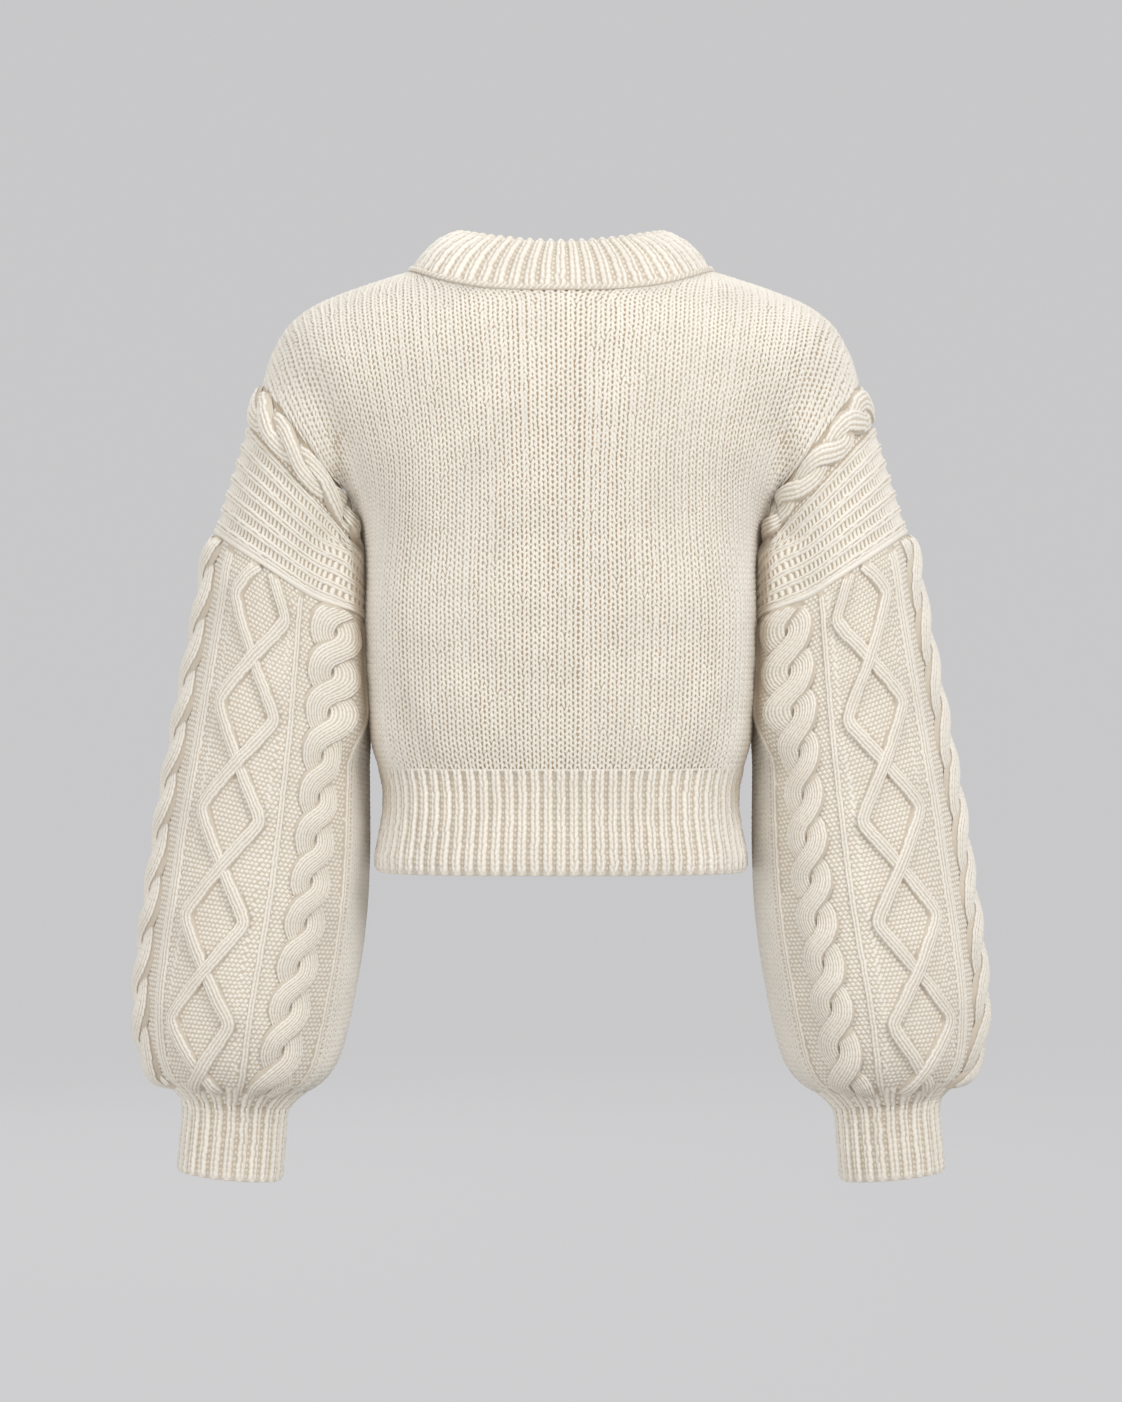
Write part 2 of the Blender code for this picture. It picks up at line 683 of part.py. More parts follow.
def tube(name, surface, parts, angles, inner_parts, inner_angles, relief, material, mirrored):
    part, angle = parts[:, None], angles
    if angle.ndim == 1:
        angle = np.broadcast_to(angle, (len(parts), len(angle)))
    part = np.broadcast_to(part, angle.shape)
    base = surface(part, angle)
    normal = square_ends(tube_normal(surface, part, angle), surface, parts, angle)
    outer = base + relief(part, angle, base)[..., None] * normal
    part, angle = np.meshgrid(inner_parts, inner_angles, indexing="ij")
    normal = square_ends(tube_normal(surface, part, angle), surface, inner_parts, angle)
    inner = surface(part, angle) - WALL * normal
    turn = 2 * math.pi
    around = np.atleast_2d(angles)[0] / turn
    points, faces = closed_wall(
        outer, inner, None, around, None, inner_angles / turn, closed=True
    )
    return solid(name, points, faces, material, mirrored)


def underarm_fade(angle):
    """1 on the part of the arm that shows, 0 where it lies against the body."""
    folded = np.abs(np.mod(angle + math.pi, 2 * math.pi) - math.pi)
    return np.clip((math.radians(UNDERARM) - folded) / math.radians(UNDERARM_FADE), 0, 1)


def edge_fade(part, width):
    """0 on both edges of a piece, 1 further in, so that neighbours meet evenly."""
    return np.clip(np.minimum(part, 1 - part) / width, 0, 1)


def ring_length(points):
    closed = np.concatenate([points, points[:1]])
    return np.linalg.norm(np.diff(closed, axis=0), axis=-1).sum()


def rope_height(lobes, across, slant):
    """Two strands twisted round each other: slanting round lobes, deep between. The count
    of lobes runs along the rope, and across goes from -1 to 1. With a slant of 1 a lobe
    goes to lower across as the count rises, with -1 to higher."""
    ridge = np.cos(math.pi * (lobes + 0.3 * slant * across - 1 / 6)) ** 2
    return np.sqrt(1 - np.clip(np.abs(across), 0, 1) ** 2) * (0.3 + 0.7 * ridge)


def make_band(name, mirrored, material):
    """The rope cable along the armhole edge, then welts down to the sleeve seam."""
    gap = ARMHOLE_GAP / BAND_WIDTH
    welts = np.linspace(WELT_START, WELT_END, 2 * WELTS + 1)
    end = 1 - SEAM_GAP / 2 / BAND_WIDTH
    parts = np.r_[gap, ROPE_ROWS, welts, end]
    angles = armhole_turns()
    lobes = np.arange(len(angles)) / 2
    middle = (ROPE_ROWS[0] + ROPE_ROWS[-1]) / 2
    half = (ROPE_ROWS[-1] - ROPE_ROWS[0]) / 2
    slant = 1 if mirrored else -1  # the ropes all twist the same way, seen from outside

    def relief(part, angle, base):
        height = ROPE_RELIEF * rope_height(lobes, (part - middle) / half, slant)
        height = np.where(np.abs(part - middle) < half, height, 0)
        step = (part - WELT_START) / (WELT_END - WELT_START) * WELTS
        welt = WELT_RELIEF * (0.5 - 0.5 * np.cos(2 * math.pi * step))
        height = np.where((part > WELT_START) & (part < WELT_END), welt, height)
        return height * underarm_fade(angle)

    inner_parts = np.array([gap, 0.5, end])
    return tube(
        name, band_point, parts, angles, inner_parts, angles, relief, material, mirrored
    )


def zigzag(part):
    """0 at the lattice's crossings and 1 at its corners."""
    step = (part - LATTICE_START) / (LATTICE_END - LATTICE_START) * DIAMONDS
    return 1 - np.abs(2 * (step - np.floor(step)) - 1)


def column_angle(kind, part):
    """Where a cable's middle runs, in radians from the outer line."""
    for name, top, bottom, _ in CABLE_COLUMNS:
        if name == kind:
            return np.radians(top + (bottom - top) * part)
    raise KeyError(kind)


def half_width_of(kind):
    return next(row[3] for row in CABLE_COLUMNS if row[0] == kind)


def sleeve_angles(parts):
    """Columns round the sleeve. They follow the cables, so that ridges stay sharp."""
    rows = []
    for part in parts:
        turn = np.linspace(0, 2 * math.pi, 60, endpoint=False)
        radius = ring_length(sleeve_point(part, turn)) / (2 * math.pi)
        narrow = min(1.0, radius / FULL_RADIUS)
        to_angle = narrow / radius
        rope = column_angle("rope", part)
        rope_half = half_width_of("rope") * to_angle
        lattice = column_angle("lattice", part)
        reach = (LATTICE_RIDGE / 2 + (LATTICE_HALF - LATTICE_RIDGE / 2) * zigzag(part)) * to_angle
        ridge = LATTICE_RIDGE / 2 * to_angle
        braid = column_angle("braid", part)
        braid_half = half_width_of("braid") * to_angle
        half = [0.0]
        half += [rope + rope_half * f for f in (-0.85, -0.4, 0.1, 0.55, 1)]
        half += [(rope + rope_half + lattice - reach - 1.15 * ridge) / 2]
        half += [lattice - reach - 1.15 * ridge, lattice - reach - 0.5 * ridge]
        half += [min(lattice - reach + 0.5 * ridge, lattice - 0.2 * ridge)]
        half += [min(lattice - reach + 1.15 * ridge, lattice - 0.1 * ridge)]
        half += [max(lattice + reach - 1.15 * ridge, lattice + 0.1 * ridge)]
        half += [max(lattice + reach - 0.5 * ridge, lattice + 0.2 * ridge)]
        half += [lattice + reach + 0.5 * ridge, lattice + reach + 1.15 * ridge]
        half += [braid + braid_half * f for f in (-1, -0.5, 0, 0.5, 1)]
        half += [0.5 * (braid + braid_half + math.pi), math.pi]
        half = np.array(half)
        rows.append(np.r_[half, 2 * math.pi - half[-2:0:-1]])
    return np.array(rows)


def sleeve_relief(part, angle, base, twist):
    """Height of the cables over the plain sleeve. The ropes twist the same way on its back
    and its front, seen from outside."""
    folded = np.minimum(angle, 2 * math.pi - angle)
    lobes = np.arange(len(base))[:, None] / LOBE_ROWS
    girth = np.array([ring_length(row) for row in base])[:, None]
    radius = girth / (2 * math.pi)
    narrow = np.minimum(1.0, radius / FULL_RADIUS)
    slant = np.where(angle < math.pi, twist, -twist)
    height = np.zeros_like(folded)
    for kind, tall in (("rope", ROPE_RELIEF), ("braid", BRAID_RELIEF)):
        across = (folded - column_angle(kind, part)) * radius / narrow / half_width_of(kind)
        height = np.maximum(height, tall * rope_height(lobes, across, slant))
    across = (folded - column_angle("lattice", part)) * radius / narrow
    reach = LATTICE_RIDGE / 2 + (LATTICE_HALF - LATTICE_RIDGE / 2) * zigzag(part)
    from_ridge = np.abs(np.abs(across) - reach)
    ridge = np.clip(1.6 - 1.6 * from_ridge / (LATTICE_RIDGE / 2), 0, 1)
    height = np.maximum(height, LATTICE_RELIEF * ridge)
    return height * edge_fade(part, 0.03) * underarm_fade(angle)


def make_sleeve(name, mirrored, material):
    gap = SEAM_GAP / 2 / SLEEVE_LENGTH
    parts = inset(np.linspace(0, 1, SLEEVE_ROWS), gap, gap)
    inner_parts = inset(np.linspace(0, 1, 12), gap, gap)
    inner_angles = np.linspace(0, 2 * math.pi, 22, endpoint=False)
    twist = -1 if mirrored else 1

    def relief(part, angle, base):
        return sleeve_relief(part, angle, base, twist)

    return tube(
        name, sleeve_point, parts, sleeve_angles(parts), inner_parts, inner_angles,
        relief, material, mirrored,
    )


def make_cuff(name, mirrored, material):
    gap = SEAM_GAP / 2 / CUFF_LENGTH
    first = 0.12  # the ribs have risen to their full height here
    parts = np.array([gap, first, 0.86, 1.0])
    angles = np.linspace(0, 2 * math.pi, 2 * CUFF_RIBS, endpoint=False)
    inner_angles = angles[::2]

    def relief(part, angle, base):
        rib = RIB_RELIEF * np.cos(CUFF_RIBS * angle)
        return np.where(part >= 1, -1.0, rib * np.clip(part / first, 0, 1))

    return tube(
        name, cuff_point, parts, angles, np.array([gap, 1.0]), inner_angles, relief, material,
        mirrored,
    )


# Hem, neckband and button bands


def hem_path(count):
    """Places round the hem from one button band to the other by way of the back: the
    share of the way from the middle to the side, and on which side and half."""
    half = count // 4
    share = np.linspace(0, 1, half + 1)
    legs = []
    for side, mirror, order in (
        (FRONT, 1, 1), (BACK, 1, -1), (BACK, -1, 1), (FRONT, -1, -1),
    ):
        steps = share if order > 0 else share[::-1]
        legs.append([(side, mirror, s) for s in (steps if not legs else steps[1:])])
    return [place for leg in legs for place in leg]


def hem_row(height, places, offset):
    """A row of points round the hem, moved out by offset."""
    count = 121
    numbers = np.arange(count)
    sections = {
        BACK: half_section(height, BACK, 0, count),
        FRONT: half_section(height, FRONT, FRONT_EDGE + SEAM_GAP / 2, count),
    }
    row = []
    for side, mirror, share in places:
        section = sections[side]
        index = share * (count - 1)
        x, y = (np.interp(index, numbers, line) for line in section.T)
        before = np.array([np.interp(index - 1, numbers, line) for line in section.T])
        after = np.array([np.interp(index + 1, numbers, line) for line in section.T])
        along = after - before
        normal = unit(np.array([-along[1], along[0]]))
        if share == 1:
            normal = np.array([1.0, 0.0])
        row.append((x, y, normal[0], normal[1], side, mirror))
    row = np.array(row)
    points = row[:, :2] + row[:, 2:4] * np.asarray(offset)[:, None]
    # A front edge stays straight beside the button band.
    points[[0, -1], 0] = row[[0, -1], 0]
    return np.stack(
        [points[:, 0] * row[:, 5], points[:, 1] * row[:, 4], np.full(len(row), height)], -1
    )


def make_hem(material):
    places = hem_path(2 * HEM_RIBS)
    inner_places = hem_path(56)
    rib = RIB_RELIEF * (-1.0) ** np.arange(len(places))
    heights = (HEM_BOTTOM, HEM_BOTTOM + 5, HEM_SEAM - 6, HEM_SEAM - SEAM_GAP / 2)
    reliefs = (rib * 0.2 - 1, rib, rib, 0 * rib)
    outer = np.array([hem_row(h, places, r) for h, r in zip(heights, reliefs)])
    thick = np.full(len(inner_places), -WALL)
    inner = np.array([hem_row(h, inner_places, thick) for h in (heights[0], heights[-1])])
    outer_t = (np.array(heights) - heights[0]) / (heights[-1] - heights[0])
    outer_u = np.linspace(0, 1, outer.shape[1])
    inner_u = np.linspace(0, 1, inner.shape[1])
    points, faces = closed_wall(
        outer, inner, outer_t, outer_u, np.array([0.0, 1.0]), inner_u, closed=False
    )
    return solid("hem_rib", points, faces, material)


def neck_ring(part, angle):
    """The neckband: angle 0 is the wearer's left, a quarter turn is the back."""
    part, angle = np.broadcast_arrays(np.asarray(part, float), np.asarray(angle, float))
    across = np.abs(np.cos(angle))
    x = NECK_POINT[0] * across
    result = np.empty(part.shape + (3,))
    for side in (BACK, FRONT):
        here = np.sin(angle) * side >= 0
        seam_z = neckline(side, x[here])
        seam_y = body_depth(x[here], seam_z, side)
        turn = np.abs(np.sin(angle[here]))
        top_z = NECK_TOP_SIDE + (NECK_TOP_MIDDLE[side] - NECK_TOP_SIDE) * turn**2
        top_y = NECK_TOP_DEPTH[side] * turn
        v = part[here]
        bulge = NECK_BULGE * np.sin(math.pi * v) * 0.7
        lean = np.cos(angle[here])
        y = seam_y + (top_y - seam_y) * v + bulge * turn
        result[here, 0] = (
            x[here] + (NECK_TOP_HALF * across[here] - x[here]) * v
        ) * np.sign(lean) + bulge * lean
        result[here, 1] = side * y
        result[here, 2] = seam_z + (top_z - seam_z) * v + bulge
    return result


def neck_seam():
    """The neckline as the panels' own straight edges make it, from the left button band
    round the back to the right one, with the wall's direction at each column."""
    edges = {}
    for side in (FRONT, BACK):
        table, normals = half_panel(side)
        u = neck_columns(side)
        ones = np.ones_like(u)
        edges[side] = read(table, ones, u), unit(read(normals, ones, u))
    flip = np.array([-1, 1, 1])
    legs = (
        edges[FRONT],
        [joined([line[::-1], line * flip]) for line in edges[BACK]],
        [line[::-1] * flip for line in edges[FRONT]],
    )
    cut = [along_line(leg[0], leg, count) for leg, count in zip(legs, NECK_COLUMNS)]
    points, normals = zip(*cut)
    return joined(points), unit(joined(normals))


def make_neckband(material):
    columns = sum(NECK_COLUMNS) + 1
    rib = RIB_RELIEF * (-1.0) ** np.arange(columns)
    plain = np.zeros(columns)
    edge = FRONT_EDGE + SEAM_GAP / 2
    seam_points, seam_normals = neck_seam()

    def row(part, offset):
        half_width = neck_ring([part], [0.0])[0, 0]
        start = -math.acos(edge / half_width)
        turns = []
        ends = (start, 0.0, math.pi, math.pi - start)
        for low, high, count in zip(ends[:-1], ends[1:], NECK_COLUMNS):
            fine = np.linspace(low, high, 400)
            ring = neck_ring(np.full_like(fine, part), fine)
            turns += along_line(ring, [fine[:, None]], count)
        angles = joined(turns)[:, 0]
        flat = np.full(columns, part)
        base = neck_ring(flat, angles)
        normal = tube_normal(neck_ring, flat, angles)
        outward = base * np.array([1, 1, 0]) + np.array([0, 0, 30])
        normal *= np.sign((normal * outward).sum(-1).mean())
        normal[[0, -1], 0] = 0
        base[[0, -1], 0] = edge, -edge
        return base + unit(normal) * offset[:, None]

    def seam_row(offset):
        rise = row(0.1, plain) - seam_points
        base = seam_points + unit(rise) * NECK_GAP + seam_normals * offset
        base[[0, -1], 0] = edge, -edge
        return base

    start = NECK_GAP / NECKBAND_WIDTH
    parts = (0.1, 0.5, 0.92, 1.0)
    outer = [seam_row(0)]
    for part, relief in zip(parts, (rib, rib, rib, rib * 0.2 - 1)):
        outer.append(row(part, relief))
    inner_parts = (0.5, 1.0)
    inner = [seam_row(-WALL)] + [row(part, plain - WALL) for part in inner_parts]
    places = np.linspace(0, 1, columns)
    points, faces = closed_wall(
        np.array(outer), np.array(inner), np.array([start, *parts]), places,
        np.array([start, *inner_parts]), places, closed=False,
    )
    return solid("neckband", points, faces, material)


def front_line(count):
    """The middle of the front from the hem up to the neckband's upper edge, as depth and
    height, with the direction that faces out."""
    heights = np.linspace(HEM_BOTTOM, ARMPIT, 60)
    low = [(-half_section(h, FRONT, 0, 5)[0, 1], h) for h in heights]
    heights = np.linspace(ARMPIT, NECKLINE_DIP[FRONT], 40)[1:]
    middle = [(-float(body_depth(np.zeros(1), np.array([h]), FRONT)[0]), h) for h in heights]
    parts = np.linspace(0, 1, 20)[1:]
    neck = neck_ring(parts, np.full(19, -math.pi / 2))
    line = np.array(low + middle + [(y, z) for _, y, z in neck])
    walked = np.r_[0, np.cumsum(np.linalg.norm(np.diff(line, axis=0), axis=1))]
    at = np.linspace(0, walked[-1], count)
    even = np.stack([np.interp(at, walked, c) for c in line.T], -1)
    along = np.gradient(even, axis=0)
    return even, unit(np.stack([-along[:, 1], along[:, 0]], -1))


def strip(name, left, right, depth, rib, rows, material):
    """A knitted strip up the front between two distances from the middle."""
    line, normal = front_line(rows)
    columns = len(rib)
    x = np.linspace(left, right, columns)

    def layer(offsets):
        grid = np.empty((rows, columns, 3))
        grid[..., 0] = x
        grid[..., 1:] = line[:, None] + normal[:, None] * offsets[None, :, None]
        return grid

    places = np.linspace(0, 1, rows), np.linspace(0, 1, columns)
    outer = layer(rib - depth)
    inner = layer(np.full(columns, -depth - WALL))[:, [0, -1]]
    points, faces = closed_wall(
        outer, inner, *places, places[0], np.array([0.0, 1.0]), closed=False
    )
    return solid(name, points, faces, material)


def make_button_bands(material):
    ribs = RIB_RELIEF * (0.5 - 0.5 * np.cos(np.linspace(0, 8 * math.pi, 9)))
    edge = FRONT_EDGE - SEAM_GAP / 2
    strip("button_band_over", -edge, edge, 0, ribs, 20, material)
    under = np.zeros(2)
    strip("button_band_under", 3 - edge, edge, WALL + SEAM_GAP, under, 20, material)


def make_button(name, part, material):
    """A plain round button with a raised rim, lying on the over band."""
    sides = 12
    profile = (
        # distance from the axis, height over the band
        (BUTTON_RADIUS - 0.8, 0.0),
        (BUTTON_RADIUS, BUTTON_THICK * 0.6),
        (BUTTON_RADIUS - 1.8, BUTTON_THICK),
        (BUTTON_RADIUS - 3.6, BUTTON_THICK * 0.7),
    )
    line, normal = front_line(201)
    at = int(round(part * 200))
    seat = line[at] + normal[at] * (RIB_RELIEF + SEAM_GAP)
    out = np.array([0, normal[at][0], normal[at][1]])
    up = np.array([0, -out[2], out[1]])
    across = np.cross(up, out)
    centre = np.array([0, seat[0], seat[1]])
    points, faces = [], []
    for ring, (radius, height) in enumerate(profile):
        for k in range(sides):
            turn = 2 * math.pi * k / sides
            direction = across * math.cos(turn) + up * math.sin(turn)
            points.append(centre + direction * radius + out * height)
        if ring:
            low, high = (ring - 1) * sides, ring * sides
            for k in range(sides):
                nxt = (k + 1) % sides
                faces.append((low + k, low + nxt, high + nxt, high + k))
    faces.append(tuple(range(sides)))
    faces.append(tuple(range((len(profile) - 1) * sides, len(profile) * sides)))
    return solid(name, np.array(points), faces, material)


def clear_scene():
    for thing in list(bpy.data.objects):
        bpy.data.objects.remove(thing, do_unlink=True)


def main():
    clear_scene()
    wool = cloth_material("cream_wool", CREAM, 0.9)
    horn = cloth_material("button", BUTTON_COLOUR, 0.45)
    make_back(wool)
    for side, mirrored in (("left", False), ("right", True)):
        make_front("front_" + side, mirrored, wool)
        make_band("armhole_band_" + side, mirrored, wool)
        make_sleeve("sleeve_" + side, mirrored, wool)
        make_cuff("cuff_" + side, mirrored, wool)
    make_hem(wool)
    make_neckband(wool)
    make_button_bands(wool)
    for number, part in enumerate(np.linspace(TOP_BUTTON, BOTTOM_BUTTON, BUTTONS), 1):
        make_button(f"button_{number}", part, horn)


main()
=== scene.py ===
"""The cable knit cardigan as it looks: every stitch that shows, the yarn and a plain studio.

The knit lies on the same surfaces as the solids it stands for. A Cloth is such a surface as
a fine grid, with t along its rows and u along its columns, both from 0 to 1. Stitches are
small plump leaves of yarn that a layout function places on a cloth. Sizes are millimetres,
which MM turns into metres. The wearer faces -Y and the wearer's left is +X.
"""

import math

import bpy
import numpy as np
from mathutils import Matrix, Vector


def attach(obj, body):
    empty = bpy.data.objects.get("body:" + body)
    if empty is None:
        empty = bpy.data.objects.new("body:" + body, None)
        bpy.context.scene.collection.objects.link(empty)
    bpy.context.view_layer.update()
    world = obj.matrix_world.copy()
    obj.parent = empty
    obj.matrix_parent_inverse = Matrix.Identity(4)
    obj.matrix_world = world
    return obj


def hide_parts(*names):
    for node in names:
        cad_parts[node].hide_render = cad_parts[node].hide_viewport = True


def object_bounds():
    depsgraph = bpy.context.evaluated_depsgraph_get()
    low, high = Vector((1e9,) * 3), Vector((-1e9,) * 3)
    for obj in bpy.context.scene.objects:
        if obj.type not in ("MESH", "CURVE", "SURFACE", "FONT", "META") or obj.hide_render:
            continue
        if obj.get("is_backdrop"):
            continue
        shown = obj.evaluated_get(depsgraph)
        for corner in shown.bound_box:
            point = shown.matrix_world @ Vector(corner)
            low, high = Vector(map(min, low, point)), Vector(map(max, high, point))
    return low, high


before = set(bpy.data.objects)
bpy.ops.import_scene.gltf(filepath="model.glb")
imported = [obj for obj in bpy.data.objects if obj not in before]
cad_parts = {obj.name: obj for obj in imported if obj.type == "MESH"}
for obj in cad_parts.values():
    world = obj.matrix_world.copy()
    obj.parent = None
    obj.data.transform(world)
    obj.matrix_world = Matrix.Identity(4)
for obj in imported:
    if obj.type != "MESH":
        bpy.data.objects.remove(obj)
CAD_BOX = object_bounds()

MM = 0.001
WALL = 3.0  # thickness of the plain knit
BACK, FRONT = 1, -1
# Cross-sections of the body below the armpit.
TORSO = (
    # height, half width, depth of the back, depth of the front
    (-449.5, 137.5, 97.0, 97.0),
    (-441.0, 139.0, 98.5, 98.5),
    (-426.0, 136.5, 98.0, 98.0),
    (-403.5, 133.0, 97.0, 97.0),
    (-385.0, 133.2, 97.5, 97.5),
    (-371.6, 136.4, 99.0, 99.0),
    (-358.0, 140.6, 101.5, 101.5),
    (-325.0, 144.8, 104.5, 105.0),
    (-300.0, 146.4, 105.5, 107.0),
    (-268.0, 147.8, 106.5, 108.5),
    (-236.0, 149.0, 107.0, 109.0),
    (-205.0, 150.5, 106.0, 108.0),
)
HEM_BOTTOM = -449.5
HEM_SEAM = -371.6
ARMPIT = -205.0
SECTION_POWER = 3.1  # 2 is an ellipse, more is squarer
# The body above the armpit, where it opens out over the shoulders.
YOKE = (
    # height, half width, depth of the back, depth of the front, inner side of the arm
    (-205.0, 150.5, 106.0, 108.0, 150.5),
    (-186.0, 157.0, 105.5, 108.5, 148.5),
    (-171.0, 162.0, 105.0, 108.5, 147.0),
    (-135.0, 176.0, 103.0, 107.0, 130.0),
    (-100.0, 200.0, 100.0, 103.0, 95.0),
    (-60.0, 235.0, 91.0, 95.0, 40.0),
    (-21.0, 270.0, 79.0, 82.0, -40.0),
    (30.0, 310.0, 68.0, 70.0, -120.0),
)
ARM_DEPTH = 70.0
ARM_REACH = 52.0  # from the arm's inner side to its full depth
SHOULDER_ROUND = 66.0  # how far in from the outline the surface reaches its full depth
VALLEY_BLEND = 12.0  # softness of the fold between body and arm
# The garment's outline over the shoulder and down the arm to the sleeve seam.
OUTLINE = (
    # x, z
    (0.0, 21.0),
    (60.0, 14.5),
    (112.0, 0.5),
    (138.0, -7.5),
    (164.0, -16.5),
    (183.0, -24.5),
    (196.0, -33.0),
    (207.0, -44.0),
    (218.5, -66.0),
    (224.0, -85.0),
    (235.0, -111.0),
    (247.0, -156.0),
    (259.5, -197.0),
    (276.0, -268.0),
)
NECK_POINT = (112.0, 0.5)
SHOULDER_TIP = (224.0, -85.0)
# Where the armhole edge runs, seen from behind, from the shoulder tip to the armpit.
ARMHOLE = (
    # x, z
    (224.0, -85.0),
    (191.0, -128.0),
    (158.0, -171.0),
    (152.5, -188.0),
    (150.5, -205.0),
)
NECKLINE_DIP = {BACK: -21.0, FRONT: -78.0}  # height of the neckline at its middle
NECKLINE_POWER = {BACK: 3.2, FRONT: 2.2}  # 2 is a parabola, more is squarer
# Rings round the sleeve, from the sleeve seam to the cuff.
SLEEVE = (
    # outer x, outer z, inner x, inner z, half depth
    (259.0, -197.0, 148.4, -268.0, 72.0),
    (264.0, -214.0, 147.7, -284.0, 73.0),
    (268.5, -243.0, 146.6, -306.0, 73.5),
    (274.5, -275.0, 145.2, -330.0, 74.0),
    (282.0, -314.0, 143.5, -362.0, 74.0),
    (290.0, -357.0, 143.0, -398.0, 74.5),
    (298.0, -400.0, 143.0, -436.0, 75.0),
    (304.5, -446.0, 144.5, -472.0, 76.0),
    (310.5, -486.0, 148.0, -506.0, 76.5),
    (315.0, -525.0, 153.5, -539.0, 76.0),
    (316.0, -552.0, 158.5, -564.0, 73.0),
    (313.0, -580.0, 166.0, -590.0, 66.0),
    (305.0, -599.0, 177.0, -606.0, 55.0),
    (293.0, -611.0, 193.0, -617.0, 40.0),
    (285.6, -618.0, 203.4, -627.0, 30.6),
)
CUFF = (
    # outer x, outer z, inner x, inner z, half depth
    (285.6, -618.0, 203.4, -627.0, 30.6),
    (283.8, -626.0, 205.4, -634.5, 28.8),
    (284.6, -640.0, 206.3, -647.0, 28.4),
    (287.5, -668.0, 208.6, -675.0, 28.5),
    (287.0, -675.0, 210.0, -682.5, 28.0),
)
# Neckband, from its seam to its upper edge.
NECK_TOP_HALF = 76.0
NECK_TOP_SIDE = 31.5
NECK_TOP_MIDDLE = {BACK: 20.0, FRONT: -42.0}
NECK_TOP_DEPTH = {BACK: 44.0, FRONT: 66.0}
NECK_BULGE = 3.5
# Ribs, welts and cables.
RIB_RELIEF = 1.6
HEM_RIBS = 84
CUFF_RIBS = 24
NECK_COLUMNS = (28, 52, 28)  # left front, back and right front, two to a rib
WELTS = 7
WELT_RELIEF = 2.2
WELT_START = 0.26  # the welts run from here
WELT_END = 0.985  # to here across the armhole band
LATTICE_HALF = 22.0  # from the middle of the lattice to a ridge at its widest
DIAMONDS = 5
LATTICE_START = -0.025  # the first crossing, as part of the sleeve's length
LATTICE_END = 0.93  # and the last one
LATTICE_ROUND = 0.985  # 1 is a sharp zigzag
CABLES = (
    # kind, degrees from the outer line at the sleeve's top, reach to each side
    ("rope", 18.0, 13.0),
    ("lattice", 78.0, 26.6),
    ("braid", 126.0, 10.5),
)
FULL_RADIUS = 60.0  # the cables draw together where the sleeve is thinner than this
# Centre front.
FRONT_EDGE = 14.0  # half width of a button band
BUTTONS = 6
BUTTON_RADIUS = 10.5
HOLE_PLACE = 1.9  # of the four holes, across and up from the button's middle
HOLE_RADIUS = 1.0
TOP_BUTTON = 0.955  # places along the button band, from the hem up
BOTTOM_BUTTON = 0.055
# How finely the surfaces of the body are cut up.
TABLE_ROWS = 81
TABLE_COLUMNS = 61
NECK_AT = {BACK: 28, FRONT: 27}  # the table column that ends at the neck point
ARMHOLE_STEPS = 181
RELAX_ROUNDS = 600
ROW_DROP = 0.45  # the least step from row to row below the hollow neckline
VALLEY_EASE = 12.0  # height over which the yoke eases out of the section below it
SOFT_ROUNDS = 120
SOFT_ROWS = 9.0  # how many rows past the armpit the lines of the knit are eased


def unit(vectors):
    return vectors / np.maximum(np.linalg.norm(vectors, axis=-1, keepdims=True), 1e-12)


def smooth(table, at, key=0):
    """The columns of a table read along a smooth curve through its rows. The key column
    says where each row lies; with no key they lie at 0, 1, 2 and so on."""
    rows = np.asarray(table, float)
    if key is None:
        keys, values = np.arange(len(rows), dtype=float), rows
    else:
        keys, values = rows[:, key], np.delete(rows, key, 1)
    slopes = np.gradient(values, keys, axis=0)
    at = np.clip(np.asarray(at, float), keys[0], keys[-1])
    row = np.clip(np.searchsorted(keys, at) - 1, 0, len(keys) - 2)
    span = (keys[row + 1] - keys[row])[..., None]
    part = (at - keys[row])[..., None] / span
    square, cube = part**2, part**3
    return (
        (2 * cube - 3 * square + 1) * values[row]
        + (cube - 2 * square + part) * span * slopes[row]
        + (3 * square - 2 * cube) * values[row + 1]
        + (cube - square) * span * slopes[row + 1]
    )


def walk(line):
    """How far along a line each of its points lies."""
    return np.r_[0, np.cumsum(np.linalg.norm(np.diff(line, axis=0), axis=1))]


def between(at, walked, rows):
    """The columns of a table read between its rows, which lie at the places walked."""
    return np.stack([np.interp(at, walked, column) for column in rows.T], -1)


def even(count):
    return np.linspace(0, 1, count)


def grid_of(rows, columns):
    return np.meshgrid(rows, columns, indexing="ij")


def even_path(points, count):
    """A smooth path through the points, cut into equal lengths."""
    fine = smooth(points, np.linspace(0, len(points) - 1, 40 * len(points)), key=None)
    return along_line(fine, fine, count)


def along_line(line, rows, count):
    """What goes with a line of points, read again at equal lengths along it."""
    walked = walk(line)
    return between(np.linspace(0, walked[-1], count), walked, rows)


def joined(legs):
    """Lines that each start where the one before ends, as one line."""
    return np.concatenate([legs[0]] + [leg[1:] for leg in legs[1:]])


OUTLINE_PATH = even_path(OUTLINE, 160)


def outline_distance(x, z):
    """How far a point of the back view lies inside the outline."""
    start, step = OUTLINE_PATH[:-1], np.diff(OUTLINE_PATH, axis=0)
    place = np.stack([x, z], -1)[..., None, :]
    along = ((place - start) * step).sum(-1) / (step**2).sum(-1)
    nearest = start + np.clip(along, 0, 1)[..., None] * step
    return np.linalg.norm(place - nearest, axis=-1).min(-1)


